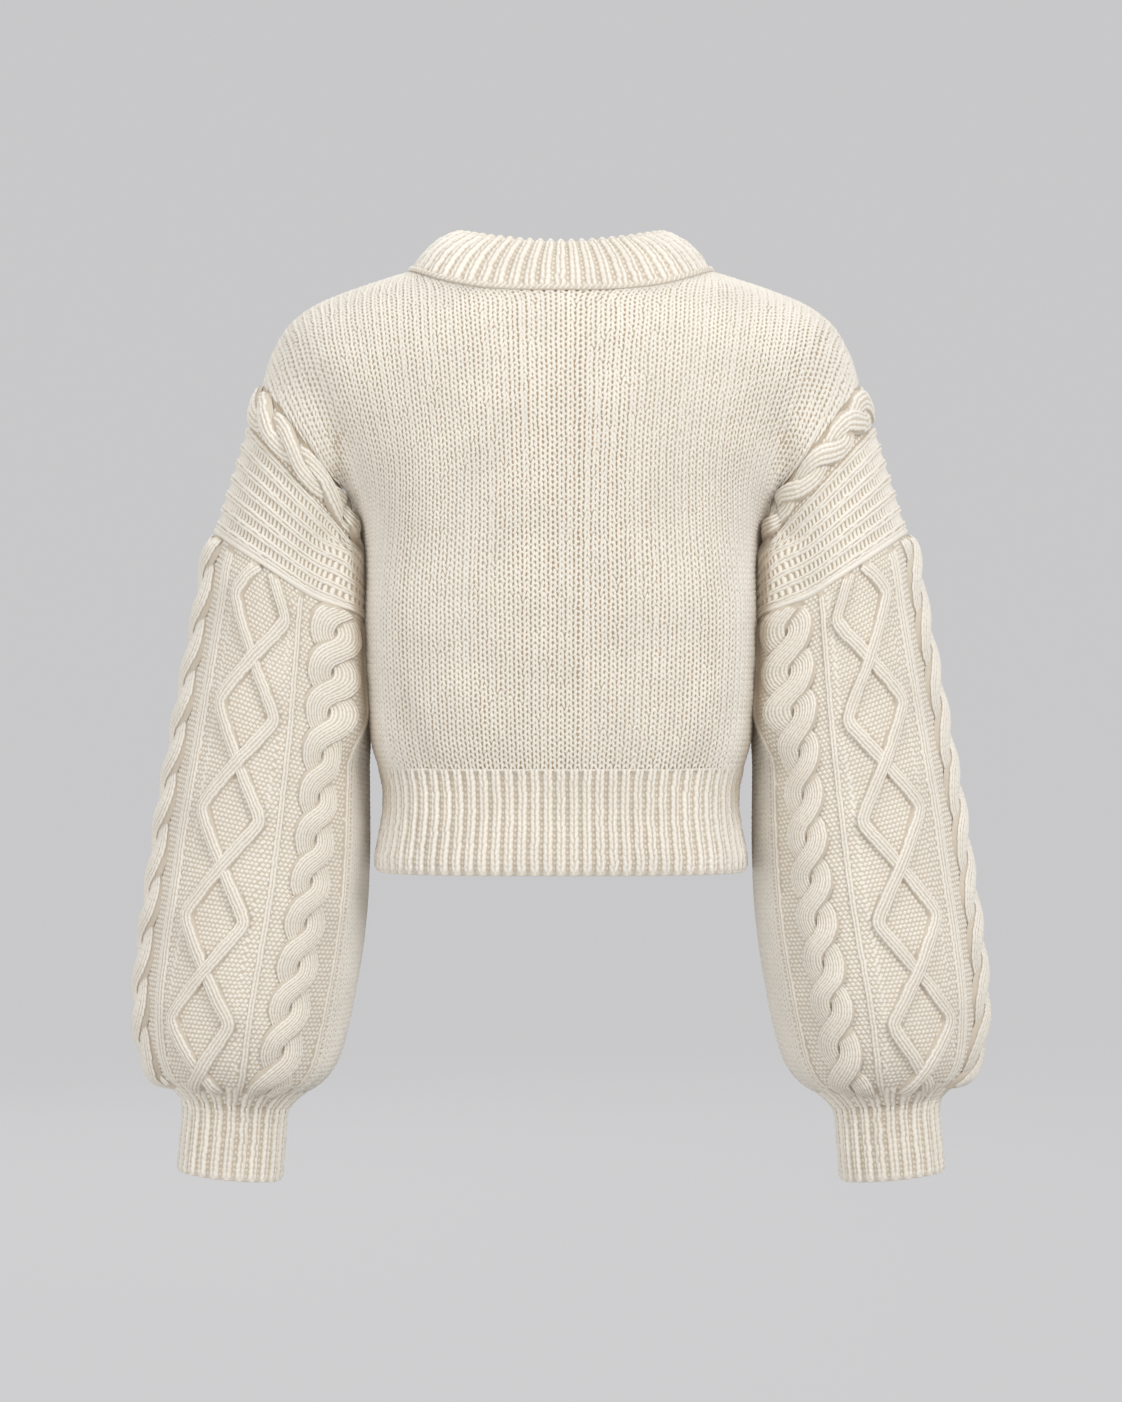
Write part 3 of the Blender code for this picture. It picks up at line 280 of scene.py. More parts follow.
def body_depth(x, z, side):
    """Depth of the body's surface above the armpit: a broad back that meets the round arm
    in a soft valley, closed by the rounded shoulder line."""
    half_width, back, front, arm_inner = np.moveaxis(smooth(YOKE, z), -1, 0)
    depth = back if side == BACK else front
    across = np.clip(np.abs(x) / half_width, 0, 1)
    torso = depth * (1 - across**SECTION_POWER) ** (1 / SECTION_POWER)
    inward = np.clip((arm_inner + ARM_REACH - x) / ARM_REACH, 0, 1)
    arm = ARM_DEPTH * np.sqrt(1 - inward**2)
    mix = np.clip(0.5 + 0.5 * (torso - arm) / VALLEY_BLEND, 0, 1)
    # The blend fades to nothing at the armpit, where both surfaces turn in.
    blend = VALLEY_BLEND * np.clip((z - ARMPIT) / 40, 0, 1)
    joined = arm + (torso - arm) * mix + blend * mix * (1 - mix)
    inside = np.clip(outline_distance(x, z) / SHOULDER_ROUND, 0, 1)
    return joined * np.sqrt(1 - (1 - inside) ** 2)


def half_section(height, side, edge, count):
    """Half of the body's outline at a height below the armpit, from the middle or the
    front edge round to the side seam, cut into equal lengths."""
    half_width, back, front = smooth(TORSO, height)
    depth = back if side == BACK else front
    turn = np.linspace(0, math.pi / 2, 400)
    x = half_width * np.sin(turn) ** (2 / SECTION_POWER)
    y = depth * np.cos(turn) ** (2 / SECTION_POWER)
    line = np.stack([x, y], -1)
    walked = walk(line)
    return between(np.linspace(np.interp(edge, x, walked), walked[-1], count), walked, line)


def neckline(side, x):
    """Height of the neckline, seen from behind or in front, at a distance from the middle."""
    across = np.clip(x / NECK_POINT[0], 0, 1)
    drop = NECKLINE_DIP[side] - NECK_POINT[1]
    return NECK_POINT[1] + drop * (1 - across ** NECKLINE_POWER[side])


def panel_top(side, edge):
    """The top edge of a panel in the back view: neckline, then shoulder seam to the tip."""
    angle = np.linspace(0, math.pi / 2, 200)
    x = edge + (NECK_POINT[0] - edge) * np.sin(angle)
    neck = np.stack([x, neckline(side, x)], -1)
    path = OUTLINE_PATH
    seam = path[(path[:, 0] > NECK_POINT[0]) & (path[:, 0] < SHOULDER_TIP[0])]
    seam = np.vstack([NECK_POINT, seam, SHOULDER_TIP])
    depth = body_depth(neck[:, 0], neck[:, 1], side)
    return joined([
        along_line(np.column_stack([neck, depth]), neck, NECK_AT[side] + 1),
        along_line(seam, seam, TABLE_COLUMNS - NECK_AT[side]),
    ])


def armhole_edge(side, count):
    """The armhole edge on the back or front, from the armpit up to the shoulder tip."""
    path = even_path(ARMHOLE, 400)
    share = (1 - np.cos(np.linspace(math.pi, 0, count))) / 2
    line = between(share * (len(path) - 1), np.arange(len(path)), path)
    depth = body_depth(line[:, 0], line[:, 1], side)
    depth[[0, -1]] = 0
    return np.stack([line[:, 0], side * depth, line[:, 1]], -1)


def evened(columns):
    """Moves the rows of a grid so that each column is cut into equal lengths."""
    lines = [along_line(line, line, len(line)) for line in np.moveaxis(columns, 1, 0)]
    return np.stack(lines, 1)


def relax(grid, rounds, near=1.0):
    """Evens out the inside of a grid, whose edges stay where they are."""
    for _ in range(rounds):
        beside = grid[1:-1, :-2] + grid[1:-1, 2:]
        above = grid[:-2, 1:-1] + grid[2:, 1:-1]
        grid[1:-1, 1:-1] += near * ((beside + above) / 4 - grid[1:-1, 1:-1])


def panel_table(side, edge):
    """A fine grid over half a panel: rows from the hem seam to the shoulder, columns from
    the middle (or the front edge) to the side seam and, above the armpit, the armhole."""
    low_rows = TABLE_ROWS // 2 + 1
    low = []
    for height in np.linspace(HEM_SEAM, ARMPIT, low_rows):
        section = half_section(height, side, edge, TABLE_COLUMNS)
        level = np.full(TABLE_COLUMNS, height)
        low.append(np.stack([section[:, 0], side * section[:, 1], level], -1))
    low = np.array(low)
    fine = 6 * (low_rows - 1) + 1
    right_edge = armhole_edge(side, fine)
    right = right_edge[:, [0, 2]]
    bottom = low[-1][:, [0, 2]]
    top = panel_top(side, edge)
    rise = np.sin(np.linspace(0, math.pi / 2, fine))
    walked = walk(right)
    right = between(rise * walked[-1], walked, right)
    t = rise[:, None, None]
    u = even(TABLE_COLUMNS)[None, :, None]
    middle = bottom[0] + t[:, 0] * (top[0] - bottom[0])
    flat = (
        (1 - u) * middle[:, None]
        + u * right[:, None]
        + (1 - t) * (bottom - (1 - u) * bottom[0] - u * bottom[-1])
        + t * (top - (1 - u) * top[0] - u * top[-1])
    )
    relax(flat, RELAX_ROUNDS)
    # The neckline is hollow, so the evened rows just below it have to be held under it.
    left = np.arange(fine)[::-1, None]
    across = np.clip(flat[..., 0] / NECK_POINT[0], 0, 1)
    limit = neckline(side, flat[..., 0]) - ROW_DROP * left * (1 - across**4)
    flat[..., 1] = np.where(across < 1, np.minimum(flat[..., 1], limit), flat[..., 1])
    relax(flat, 2)
    depth = body_depth(flat[..., 0], flat[..., 1], side)
    ease = np.clip((flat[..., 1] - ARMPIT) / VALLEY_EASE, 0, 1)
    depth = low[-1][:, 1] * side * (1 - ease) + depth * ease
    depth[:, -1] = np.interp(flat[:, -1, 1], right_edge[:, 2], side * right_edge[:, 1])
    depth[-1, NECK_AT[side]:] = 0
    high = np.stack([flat[..., 0], side * depth, flat[..., 1]], -1)
    grid = np.vstack([low, evened(high)[6::6]])
    past = np.arange(1, len(grid) - 1) - (low_rows - 1)
    relax(grid, SOFT_ROUNDS, np.exp(-((past / SOFT_ROWS) ** 2))[:, None, None])
    return grid


def normals_of(grid, outward):
    """Unit normals of a fine grid, turned to the side that outward points to."""
    across = np.gradient(grid, axis=1)
    up = np.gradient(grid, axis=0)
    normal = unit(np.cross(across, up))
    facing = (normal * outward).sum(-1).mean()
    return normal * np.sign(facing)


def read(grid, t, u):
    """A fine grid read between its points, for t up its rows and u along its columns. It
    goes on straight for a little past its ends."""
    row = np.clip(np.asarray(t, float), -PAST_END, 1 + PAST_END) * (grid.shape[0] - 1)
    column = np.clip(np.asarray(u, float), 0, 1) * (grid.shape[1] - 1)
    i = np.clip(np.floor(row).astype(int), 0, grid.shape[0] - 2)
    j = np.clip(column.astype(int), 0, grid.shape[1] - 2)
    a, b = (row - i)[..., None], (column - j)[..., None]
    low = grid[i, j] * (1 - b) + grid[i, j + 1] * b
    high = grid[i + 1, j] * (1 - b) + grid[i + 1, j + 1] * b
    return low * (1 - a) + high * a


def ring_point(table, row, angle):
    """A point of a tube given by a table of rings. Angle 0 is the outer line, a quarter
    turn is the back."""
    outer_x, outer_z, inner_x, inner_z, depth = np.moveaxis(smooth(table, row, key=None), -1, 0)
    across = (1 - np.cos(angle)) / 2
    x = outer_x + (inner_x - outer_x) * across
    z = outer_z + (inner_z - outer_z) * across
    return np.stack([x, depth * np.sin(angle), z], -1)


ARMHOLE_RING = np.vstack(
    [armhole_edge(BACK, ARMHOLE_STEPS)[::-1], armhole_edge(FRONT, ARMHOLE_STEPS)[1:]]
)


def armhole_point(angle):
    turn = 2 * math.pi * even(len(ARMHOLE_RING))
    return between(np.mod(angle, 2 * math.pi), turn, ARMHOLE_RING)


def band_point(part, angle):
    """The armhole band, from the armhole edge (0) to the sleeve seam (1)."""
    share = part[..., None]
    return armhole_point(angle) * (1 - share) + sleeve_point(0 * part, angle) * share


def tube(table):
    """A tube given by a table of rings, as a surface: a function of the part of its length
    from its first ring (0) to its last (1) and of the angle round it."""
    rows = np.asarray(table, float)
    walked = walk((rows[:, 0:2] + rows[:, 2:4]) / 2)

    def surface(part, angle):
        row = np.interp(part, walked / walked[-1], np.arange(len(rows)))
        return ring_point(rows, row, angle)

    return surface


sleeve_point = tube(SLEEVE)
cuff_point = tube(CUFF)


def tube_normal(surface, part, angle, step=0.01):
    """Outward normals of a tube, from small steps round and along it."""
    low = np.clip(part - step, 0, 1)
    high = np.clip(part + step, 0, 1)
    around = surface(part, angle + step) - surface(part, angle - step)
    return unit(np.cross(surface(high, angle) - surface(low, angle), around))


def neck_ring(part, angle):
    """The neckband: angle 0 is the wearer's left, a quarter turn is the back."""
    part, angle = np.broadcast_arrays(np.asarray(part, float), np.asarray(angle, float))
    across = np.abs(np.cos(angle))
    x = NECK_POINT[0] * across
    result = np.empty(part.shape + (3,))
    for side in (BACK, FRONT):
        here = np.sin(angle) * side >= 0
        seam_z = neckline(side, x[here])
        seam_y = body_depth(x[here], seam_z, side)
        turn = np.abs(np.sin(angle[here]))
        top_z = NECK_TOP_SIDE + (NECK_TOP_MIDDLE[side] - NECK_TOP_SIDE) * turn**2
        top_y = NECK_TOP_DEPTH[side] * turn
        v = part[here]
        bulge = NECK_BULGE * np.sin(math.pi * v)
        lean = np.cos(angle[here])
        reach = x[here] + (NECK_TOP_HALF * across[here] - x[here]) * v
        result[here, 0] = reach * np.sign(lean) + bulge * lean
        result[here, 1] = side * (seam_y + (top_y - seam_y) * v + bulge * turn)
        result[here, 2] = seam_z + (top_z - seam_z) * v + bulge
    return result


def front_line(count):
    """The middle of the front from the hem up to the neckband's upper edge, as depth and
    height, with the direction that faces out."""
    heights = np.linspace(HEM_BOTTOM, ARMPIT, 60)
    low = [(-half_section(h, FRONT, 0, 5)[0, 1], h) for h in heights]
    heights = np.linspace(ARMPIT, NECKLINE_DIP[FRONT], 40)[1:]
    middle = [(-float(body_depth(np.zeros(1), np.array([h]), FRONT)[0]), h) for h in heights]
    neck = neck_ring(even(20)[1:], np.full(19, -math.pi / 2))
    line = np.array(low + middle + [(y, z) for _, y, z in neck])
    line = along_line(line, line, count)
    along = np.gradient(line, axis=0)
    return line, unit(np.stack([-along[:, 1], along[:, 0]], -1))


# Sizes of the knit.
SINK = 1.7  # the cloth under the stitches lies this far inside the solids' outer face
ROW = 4.15
LEG_TALL = 1.6
RIB_WALL = 5.2  # thickness of a ribbed piece
RIB_UNSHADED = 0.3  # painted shade in the sunken wales, from 0 (full) to 0.75 (none)
RIB_SQUARE = 1.3  # 0 is a round wave, more is squarer
PAINTED_SLOT_SHADE = 0.75  # how much painted shade darkens the wool between body and arm
SLOT_REACH = (4.5, 9.0)  # how far the painted shade reaches onto the arm and onto the body
SLOT_SPAN = (-440.0, -150.0)
PRESS_DEPTH = 36.0  # the arm lies against the body this far from its middle
PRESS_OVERLAP = 1.2
RIB_START = 5.0  # the ribs rise over this length from their seam
RIM_ROUND = 3.0  # how far a finished edge rounds away
PANEL_WALES = 34.5  # over half the back at the hem
SIDE_WALES = 0.10  # how much further out the last wales at the sides lie
PANEL_FAN = 0.12  # share of wales that join in towards the shoulder
SLEEVE_LONG = 400.0
GATHER_LENGTH = 34.0
GATHER_DEPTH = 1.7
CUFF_REACH = 13.0  # the cuff's ribs run this far up the sleeve
CORD_SPREAD = 1.76  # the outermost wales of a cord, against its width of 2
FAR_BELOW = -99.0
SIDE_MARGIN = 0.004
LATTICE_CORD = 5.5  # half width
LATTICE_BULGE = 4.2
LATTICE_OVER = 0.9  # how far the cord on top rises and the other one sinks
CROSSING = 0.45  # how much of a diamond a crossing takes up
BAND_AROUND = 400.0
TWISTS = {
    # two cords: length of a twist, swing, half width, bulge, rise, squareness, start
    "band": (BAND_AROUND / 12, 6.4, 7.6, 5.6, 3.0, 0.6, 0.0),
    "rope": (36.0, 9.0, 10.5, 4.9, 2.3, 0.9, 0.0),
    "braid": (33.0, 8.2, 8.6, 4.6, 2.6, 0.9, 0.4),
}
RIBBED = {
    # ribs, finished edge, length, rise of the ribs, first row, rows of the shell, flat size
    "cuff": (CUFF_RIBS, 1, 58, 0.01, -1.0, 9, (200.0, 58.0)),
    "hem": (HEM_RIBS, 0, 78, RIB_START, -1.0, 9, (770.0, 78.0)),
    "neck": (sum(NECK_COLUMNS) // 2, 1, 48, RIB_START, 0.6, 11, (480.0, 50.0)),
}
PAST_END = 0.03  # a cloth goes on straight this far past its ends
CABLE_END = SLEEVE_LONG - 9.0
BAND_STITCHES = 91
BAND_BARS = 108  # between two welts
ROPE_MIDDLE = 0.135  # across the armhole band, as part of its depth
BAND_MM = 100.0  # depth of the band at the rope
CREAM = (0.88, 0.845, 0.78)
# The painted shade: tan for the gaps between stitches, the sunken ribs and the slot between body
# and arm.
PAINTED_SHADE = (0.40, 0.305, 0.195)
# How little painted shade a surface gets, from 0 like the shaded gaps to 0.75 like the lit
# stitches.
INNER_UNSHADED = 0.6
BODY_UNSHADED = 0.35


# Stitches


def leaf(start, end, spread, swell=1.0):
    """A plump leaf of yarn from start to end, as across, along and height. Spread is its
    half width near its start, across and along, and swell how much wider it ends."""
    start, end, spread = (np.array(v, float) for v in (start, end, spread))
    low = start + 0.28 * (end - start)
    high = start + 0.72 * (end - start)
    wide = spread * swell
    flat = [start, low - spread, low, low + spread, high - wide, high, high + wide, end]
    height = (0.15, -0.1, 0.9, -0.1, -0.1, 1.0, -0.1, 0.15)
    return np.column_stack([flat, height])


def bead(side, end, middle=(0.0, 0.0)):
    """A small four-sided bump of yarn, given by its two half axes."""
    side, end, middle = (np.array(v, float) for v in (side, end, middle))
    flat = [middle - side, middle - end, middle + side, middle + end, middle]
    return np.column_stack([flat, (-0.1, -0.1, -0.1, -0.1, 1.0)])


LEAF_FACES = [
    (0, 2, 1), (0, 3, 2), (1, 2, 5), (1, 5, 4), (2, 3, 6), (2, 6, 5), (4, 5, 7), (5, 6, 7),
]
FORMS = {
    # number of points: faces, unshaded share of each point, which leaves painted shade at a leaf's
    # edges
    8: (np.array(LEAF_FACES), np.array([0.5, 0.45, 0.95, 0.45, 0.45, 1.0, 0.45, 0.5])),
    5: (np.array([(0, 1, 4), (1, 2, 4), (2, 3, 4), (3, 0, 4)]), np.array([0.45] * 4 + [1.0])),
}


def pair(start, end, spread, swell=1.0):
    """A leaf and its mirror image, which make one knit stitch."""
    flip = np.array([-1, 1])
    return tuple(leaf(start * f, end * f, spread * f, swell) for f in (np.array([1, 1]), flip))


KNIT_LEGS = pair((0.12, -0.60), (0.40, 0.98), (0.17, -0.05), 1.15)
# Where two wales touch, and where the two legs of a stitch do.
JOIN = (bead((0.25, 0.0), (0.0, 0.28), (0.5, 0.42)), bead((0.17, 0.0), (0.0, 0.27), (0.0, 0.90)))
CORD_LEGS = pair((0.18, -0.55), (0.29, 1.02), (0.20, -0.03))
RIB_LEGS = pair((0.15, -0.60), (0.25, 1.05), (0.16, -0.02))
PURL = (bead((0.60, 0.07), (0.0, 0.50)),)
DASH = (bead((0.62, -0.22), (0.10, 0.52)),)
RIB_PURL = (bead((0.17, -0.14), (0.03, 0.42), (0.5, 0.0)),)


class Cloth:
    """A piece's surface: a fine grid of points and outward normals. A closed one is a tube,
    whose last column is its first again."""

    def __init__(self, points, normals, closed=False, mirrored=False):
        flip = np.array([-1, 1, 1]) if mirrored else np.array([1, 1, 1])
        self.points = points * flip
        self.normals = normals * flip
        self.closed = closed

    def place(self, t, u, height):
        if self.closed:
            u = np.mod(u, 1.0)
        normal = unit(read(self.normals, t, u))
        return read(self.points, t, u) + normal * np.asarray(height)[..., None], normal


class Knit:
    """Gathers leaves and sheets of yarn for one mesh on one cloth."""

    def __init__(self, cloth, seed=0):
        self.cloth = cloth
        self.random = np.random.default_rng(seed)
        self.parts = []
        self.count = 0

    def add(self, t, u, height, unshaded, faces):
        """Points given by t, u and height, with faces that count from the first of them."""
        points, normals = self.cloth.place(t.ravel(), u.ravel(), height.ravel())
        # Painted shade: the slot between body and arm darkens the unshaded value.
        unshaded = unshaded.ravel() * slot_unshaded(points)
        if faces_inward(points, normals, faces):
            faces = faces[:, ::-1]
        uv = np.column_stack([u.ravel(), t.ravel()])
        self.parts.append((points, faces + self.count, uv, unshaded))
        self.count += len(points)

    def leaves(self, shapes, places, layout, tall, loose=0.03, margin=0.004, unshaded=1.0):
        """Leaves of the given shapes at each place, moved a little at random. Those that
        would lie past the cloth's edge by more than the margin are left out."""
        places = np.asarray(places, float)
        shift = self.random.normal(0, loose, (len(places), 1, 3))
        for shape in shapes:
            faces, unshaded_points = FORMS[len(shape)]
            across, along, lift = np.moveaxis(shape[None] + shift, -1, 0)
            t, u, height = layout(places[:, :1] + across, places[:, 1:] + along)
            height = height + tall * lift
            keep = ((t > -margin) & (t < 1 + margin)).all(1)
            if not self.cloth.closed:
                keep &= ((u > -SIDE_MARGIN) & (u < 1 + SIDE_MARGIN)).all(1)
            t, u, height = t[keep], u[keep], height[keep]
            starts = len(shape) * np.arange(len(t))[:, None, None]
            unshaded_points = np.broadcast_to(unshaded_points * unshaded, t.shape)
            self.add(t, u, height, unshaded_points, (faces + starts).reshape(-1, 3))

    def sheet(self, t, u, height, unshaded=0.0):
        """An open sheet through a grid of places."""
        self.add(t, u, height, np.full(t.shape, unshaded), numbered(*t.shape)[1])

    def mesh(self, name):
        return mesh_piece(name, *(np.concatenate(part) for part in zip(*self.parts)))


def numbered(rows, columns, closed=False, start=0):
    """The numbers of a grid's points and its triangles. A closed grid meets itself."""
    number = start + np.arange(rows * columns).reshape(rows, columns)
    if closed:
        number = np.column_stack([number, number[:, :1]])
    a, b, c, d = number[:-1, :-1], number[:-1, 1:], number[1:, 1:], number[1:, :-1]
    corners = ((a, b, c), (a, c, d))
    return number, np.concatenate([np.stack(f, -1).reshape(-1, 3) for f in corners])


def faces_inward(points, normals, faces):
    a, b, c = (points[faces[:, k]] for k in range(3))
    return (np.cross(b - a, c - a) * normals[faces[:, 0]]).sum() < 0


def mesh_piece(name, points, faces, uv, unshaded, slot="wool"):
    """An object from arrays, which moves with the body and has its UV map and its unshaded value,
    which sets the painted shade: 0 in the gaps between stitches, fully in painted shade, and 1 on
    top of them."""
    mesh = bpy.data.meshes.new(name)
    mesh.vertices.add(len(points))
    mesh.vertices.foreach_set("co", (points * MM).ravel())
    mesh.loops.add(faces.size)
    mesh.loops.foreach_set("vertex_index", faces.ravel())
    mesh.polygons.add(len(faces))
    mesh.polygons.foreach_set("loop_start", np.arange(0, faces.size, 3))
    mesh.update(calc_edges=True)
    mesh.shade_smooth()
    layer = mesh.uv_layers.new(name="OFBake")
    layer.data.foreach_set("uv", np.clip(uv, 0, 1)[faces.ravel()].ravel())
    values = mesh.attributes.new("unshaded", "FLOAT", "POINT")
    values.data.foreach_set("value", unshaded)
    mesh.materials.append(MATERIALS[slot])
    piece = bpy.data.objects.new(name, mesh)
    bpy.context.scene.collection.objects.link(piece)
    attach(piece, "root")
    return piece


def slot_unshaded(points):
    """Painted shade in the slot between body and arm: a factor on the unshaded value, from 1 in the
    open down to a little in the slot.
    """
    x, _, z = np.moveaxis(points, -1, 0)
    outside = np.abs(x) - smooth(TORSO, z)[:, 0]
    near = np.exp(-((outside / np.where(outside > 0, *SLOT_REACH)) ** 2))
    low, high = SLOT_SPAN
    return 1 - PAINTED_SLOT_SHADE * near * eased((z - low) / 60) * eased((high - z) / 60)


def shell(name, cloth, t, u, relief, wall=WALL, unshaded=0.0):
    """The thin closed cloth that carries the stitches: an outer face with low relief and a
    plain inner one. With u from 0 to 1 on a tube its two ends are the same column."""
    t, u = grid_of(t, u)
    if cloth.closed:
        t, u = t[:, :-1], u[:, :-1]
    height = relief(t, u)
    outer, normal = cloth.place(t, u, height - SINK)
    inward = np.clip(height / RIB_RELIEF, -1, 1) * (wall > WALL)
    inner, _ = cloth.place(t, u, inward - wall)
    points = np.concatenate([outer.reshape(-1, 3), inner.reshape(-1, 3)])
    number, outer_faces = numbered(*t.shape, cloth.closed)
    edges = [number[0], number[-1, ::-1]]
    if not cloth.closed:
        edges += [number[::-1, 0], number[:, -1]]
    rims = []
    for edge in edges:
        a, b = edge[1:], edge[:-1]
        rims.append(np.column_stack([a, b, b + t.size]))
        rims.append(np.column_stack([a, b + t.size, a + t.size]))
    faces = np.concatenate([outer_faces, outer_faces[:, ::-1] + t.size, *rims])
    if faces_inward(points, normal.reshape(-1, 3), outer_faces):
        faces = faces[:, ::-1]
    uv = np.column_stack([u.ravel(), t.ravel()])
    unshaded = unshaded(t, u) if callable(unshaded) else np.full(t.shape, unshaded)
    # Painted shade: the outer face gets its own unshaded value, the inner face a paler one that
    # darkens behind raised ribs, and both the slot's painted shade.
    unshaded = np.r_[unshaded.ravel(), INNER_UNSHADED - 0.25 * inward.ravel()] * slot_unshaded(points)
    return mesh_piece(name, points, faces, np.tile(uv, (2, 1)), unshaded)


def flat_relief(t, u):
    return 0 * t


def places(across, along, brick=0.0):
    """Every pairing of two lists of places, with each second row moved by a brick."""
    a, b = grid_of(across, along)
    a = a + brick * (np.arange(len(along)) % 2)
    return np.column_stack([a.ravel(), b.ravel()])


# Cords: ropes, braids and lattice ridges


class Cord:
    """A cord of knit that wanders across the cloth: its middle and the height of its
    underside at places along the cloth, its half width and how far it bulges."""

    def __init__(self, along, middle, rise, half, bulge):
        self.along, self.half, self.bulge = along, half, bulge
        self.lines = np.stack([middle, rise, np.gradient(middle, along)], -1)
        self.walked = walk(np.stack([middle, along], -1))

    def read(self, along):
        """Middle, height of the underside and slope at places along the cloth."""
        return np.moveaxis(between(along, self.along, self.lines), -1, 0)

    def raised(self, side):
        return self.bulge * np.sqrt(np.clip(1 - side**2, 0, 1))

    def at(self, side, walked):
        """Across, along and height, from -1 to 1 across the cord and a length along it."""
        along = np.interp(walked, self.walked, self.along)
        middle, rise, slope = self.read(along)
        shift = side * self.half / np.sqrt(1 + slope**2)
        return middle + shift, along - shift * slope, rise + self.raised(side)

    def top(self, across, along):
        """Height of the cord over a place, or far below where it doesn't reach."""
        middle, rise, slope = self.read(along)
        side = (across - middle) / self.half / np.sqrt(1 + slope**2)
        return np.where(np.abs(side) < 1, rise + self.raised(side), FAR_BELOW)


def add_cord(knit, cord, others, wales, to_cloth, fade, tall=1.0, stop=None):
    """The stitches of a cord, on a smooth body that fills it. What lies under the other
    cords is left out."""
    spread = CORD_SPREAD / wales

    def layout(across, along):
        a, l, height = cord.at(spread * across, along * ROW)
        return *to_cloth(a, l), (height - tall) * fade(l) - SINK * (1 - fade(l))

    end = cord.walked[-1] if stop is None else np.interp(stop, cord.along, cord.walked)
    rows = int(end / ROW)
    spots = places(np.arange(wales) - (wales - 1) / 2, np.arange(rows) + 0.5)
    a, l, height = cord.at(spread * spots[:, 0], spots[:, 1] * ROW)
    over = np.full(len(spots), FAR_BELOW)
    for other in others:
        over = np.maximum(over, other.top(a, l))
    knit.leaves(CORD_LEGS, spots[over < height + 1.0], layout, tall, margin=0.0)
    side, walked = grid_of(np.array([-1, -0.75, -0.4, 0, 0.4, 0.75, 1]), np.linspace(0, end, rows))
    a, l, height = cord.at(side, walked)
    height = height - 0.8 * tall - 2.0 * (np.abs(side) > 0.9)
    knit.sheet(*to_cloth(a, l), height * fade(l) - SINK * (1 - fade(l)), BODY_UNSHADED)


def rope_cords(length, kind):
    """Two cords twisted round each other. The one on top goes from right to left down the
    cloth, seen from outside."""
    period, swing, half, bulge, over, squareness, start = TWISTS[kind]
    along = np.linspace(0, length, 600)
    cords = []
    for turn in (0, math.pi):
        phase = math.pi * (along / period + start) + turn
        middle = swing * np.tanh(squareness * np.cos(phase)) / math.tanh(squareness)
        cords.append(Cord(along, middle, over * np.sin(phase), half, bulge))
    return cords


def lattice_cords(length):
    """Two cords that cross at every diamond. The one that goes from right to left down the
    cloth lies on top."""
    along = np.linspace(0, length, 900)
    step = (along / length - LATTICE_START) / (LATTICE_END - LATTICE_START) * DIAMONDS
    wave = np.arcsin(LATTICE_ROUND * np.sin(math.pi * step)) / math.asin(LATTICE_ROUND)
    crossing = np.exp(-((np.sin(math.pi * step) / CROSSING) ** 2))
    cords = []
    for sign in (1, -1):
        middle = sign * LATTICE_HALF * wave
        rise = -LATTICE_OVER * np.sign(np.gradient(middle, along)) * crossing
        cords.append(Cord(along, middle, rise, LATTICE_CORD, LATTICE_BULGE))
    return cords


# The pieces' surfaces


def tube_cloth(surface, rows, columns, mirrored=False):
    part, angle = grid_of(even(rows), 2 * math.pi * even(columns))
    return Cloth(surface(part, angle), tube_normal(surface, part, angle), True, mirrored)


def eased(value):
    """A soft step from 0 to 1."""
    value = np.clip(value, 0, 1)
    return value * value * (3 - 2 * value)


def pressed(surface):
    """A surface of the arm, resting against the side of the body below the armpit."""

    def rested(part, angle):
        x, y, z = np.moveaxis(surface(part, angle), -1, 0)
        half_width, back, front = np.moveaxis(smooth(TORSO, z), -1, 0)
        share = np.clip(np.abs(y) / np.where(y > 0, back, front), 0, 1)
        body = half_width * (1 - share**SECTION_POWER) ** (1 / SECTION_POWER)
        gap = x - body + PRESS_OVERLAP
        close = eased(2 - np.abs(y) / PRESS_DEPTH) * eased((60 - gap) / 40)
        close = close * eased((z - HEM_SEAM) / 45) * eased((ARMPIT + 4 - z) / 14)
        return np.stack([x - gap * close, y, z], -1)

    return rested


def sleeve_cloth(mirrored):
    """The sleeve, whose end flares out of the cuff in tucks that follow the cuff's ribs."""
    size = 161, 385
    cloth = tube_cloth(pressed(sleeve_point), *size)
    part, angle = grid_of(even(size[0]), 2 * math.pi * even(size[1]))
    cuff = tube_normal(cuff_point, 0 * part, angle)
    level = eased((part - 0.93) / 0.07)[..., None]
    normals = unit(cloth.normals * (1 - level) + cuff * level)
    points = cloth.points + normals * gathers(part, angle)[..., None]
    return Cloth(points, normals, True, mirrored)


def gathers(part, angle):
    """Tucks where the sleeve is drawn into the cuff, in line with its ribs."""
    near = np.clip(1 - (1 - part) * SLEEVE_LONG / GATHER_LENGTH, 0, 1)
    free = np.clip((1 - part) * SLEEVE_LONG / 16, 0, 1)
    uneven = 1 + free * (0.35 * np.sin(5 * angle + 1.0) + 0.25 * np.sin(11 * angle))
    return GATHER_DEPTH * near**1.4 * uneven * np.cos(CUFF_RIBS * angle)


FOLDS = (
    # side of the body (0 is both), x, z, x, z, half width, depth (below 0 is a ridge)
    (0, 176, -84, 163, -132, 9, 2.0),
    (0, 163, -132, 154, -176, 10, 4.5),
    (0, 154, -176, 149, -208, 8, 5.0),
    (1, 140, -238, 118, -330, 13, 1.8),
    (1, 134, -318, 96, -366, 11, 2.4),
    (1, 116, -300, 88, -362, 10, -1.6),
    (1, 62, -300, 42, -362, 16, 0.9),
    (-1, 138, -262, 121, -345, 14, 1.6),
    (-1, 130, -330, 101, -368, 10, 1.9),
    (-1, 109, -316, 84, -364, 11, -1.3),
    (-1, 30, -250, 52, -352, 20, 0.8),
    (0, 128, -60, 150, -118, 14, 1.1),
)


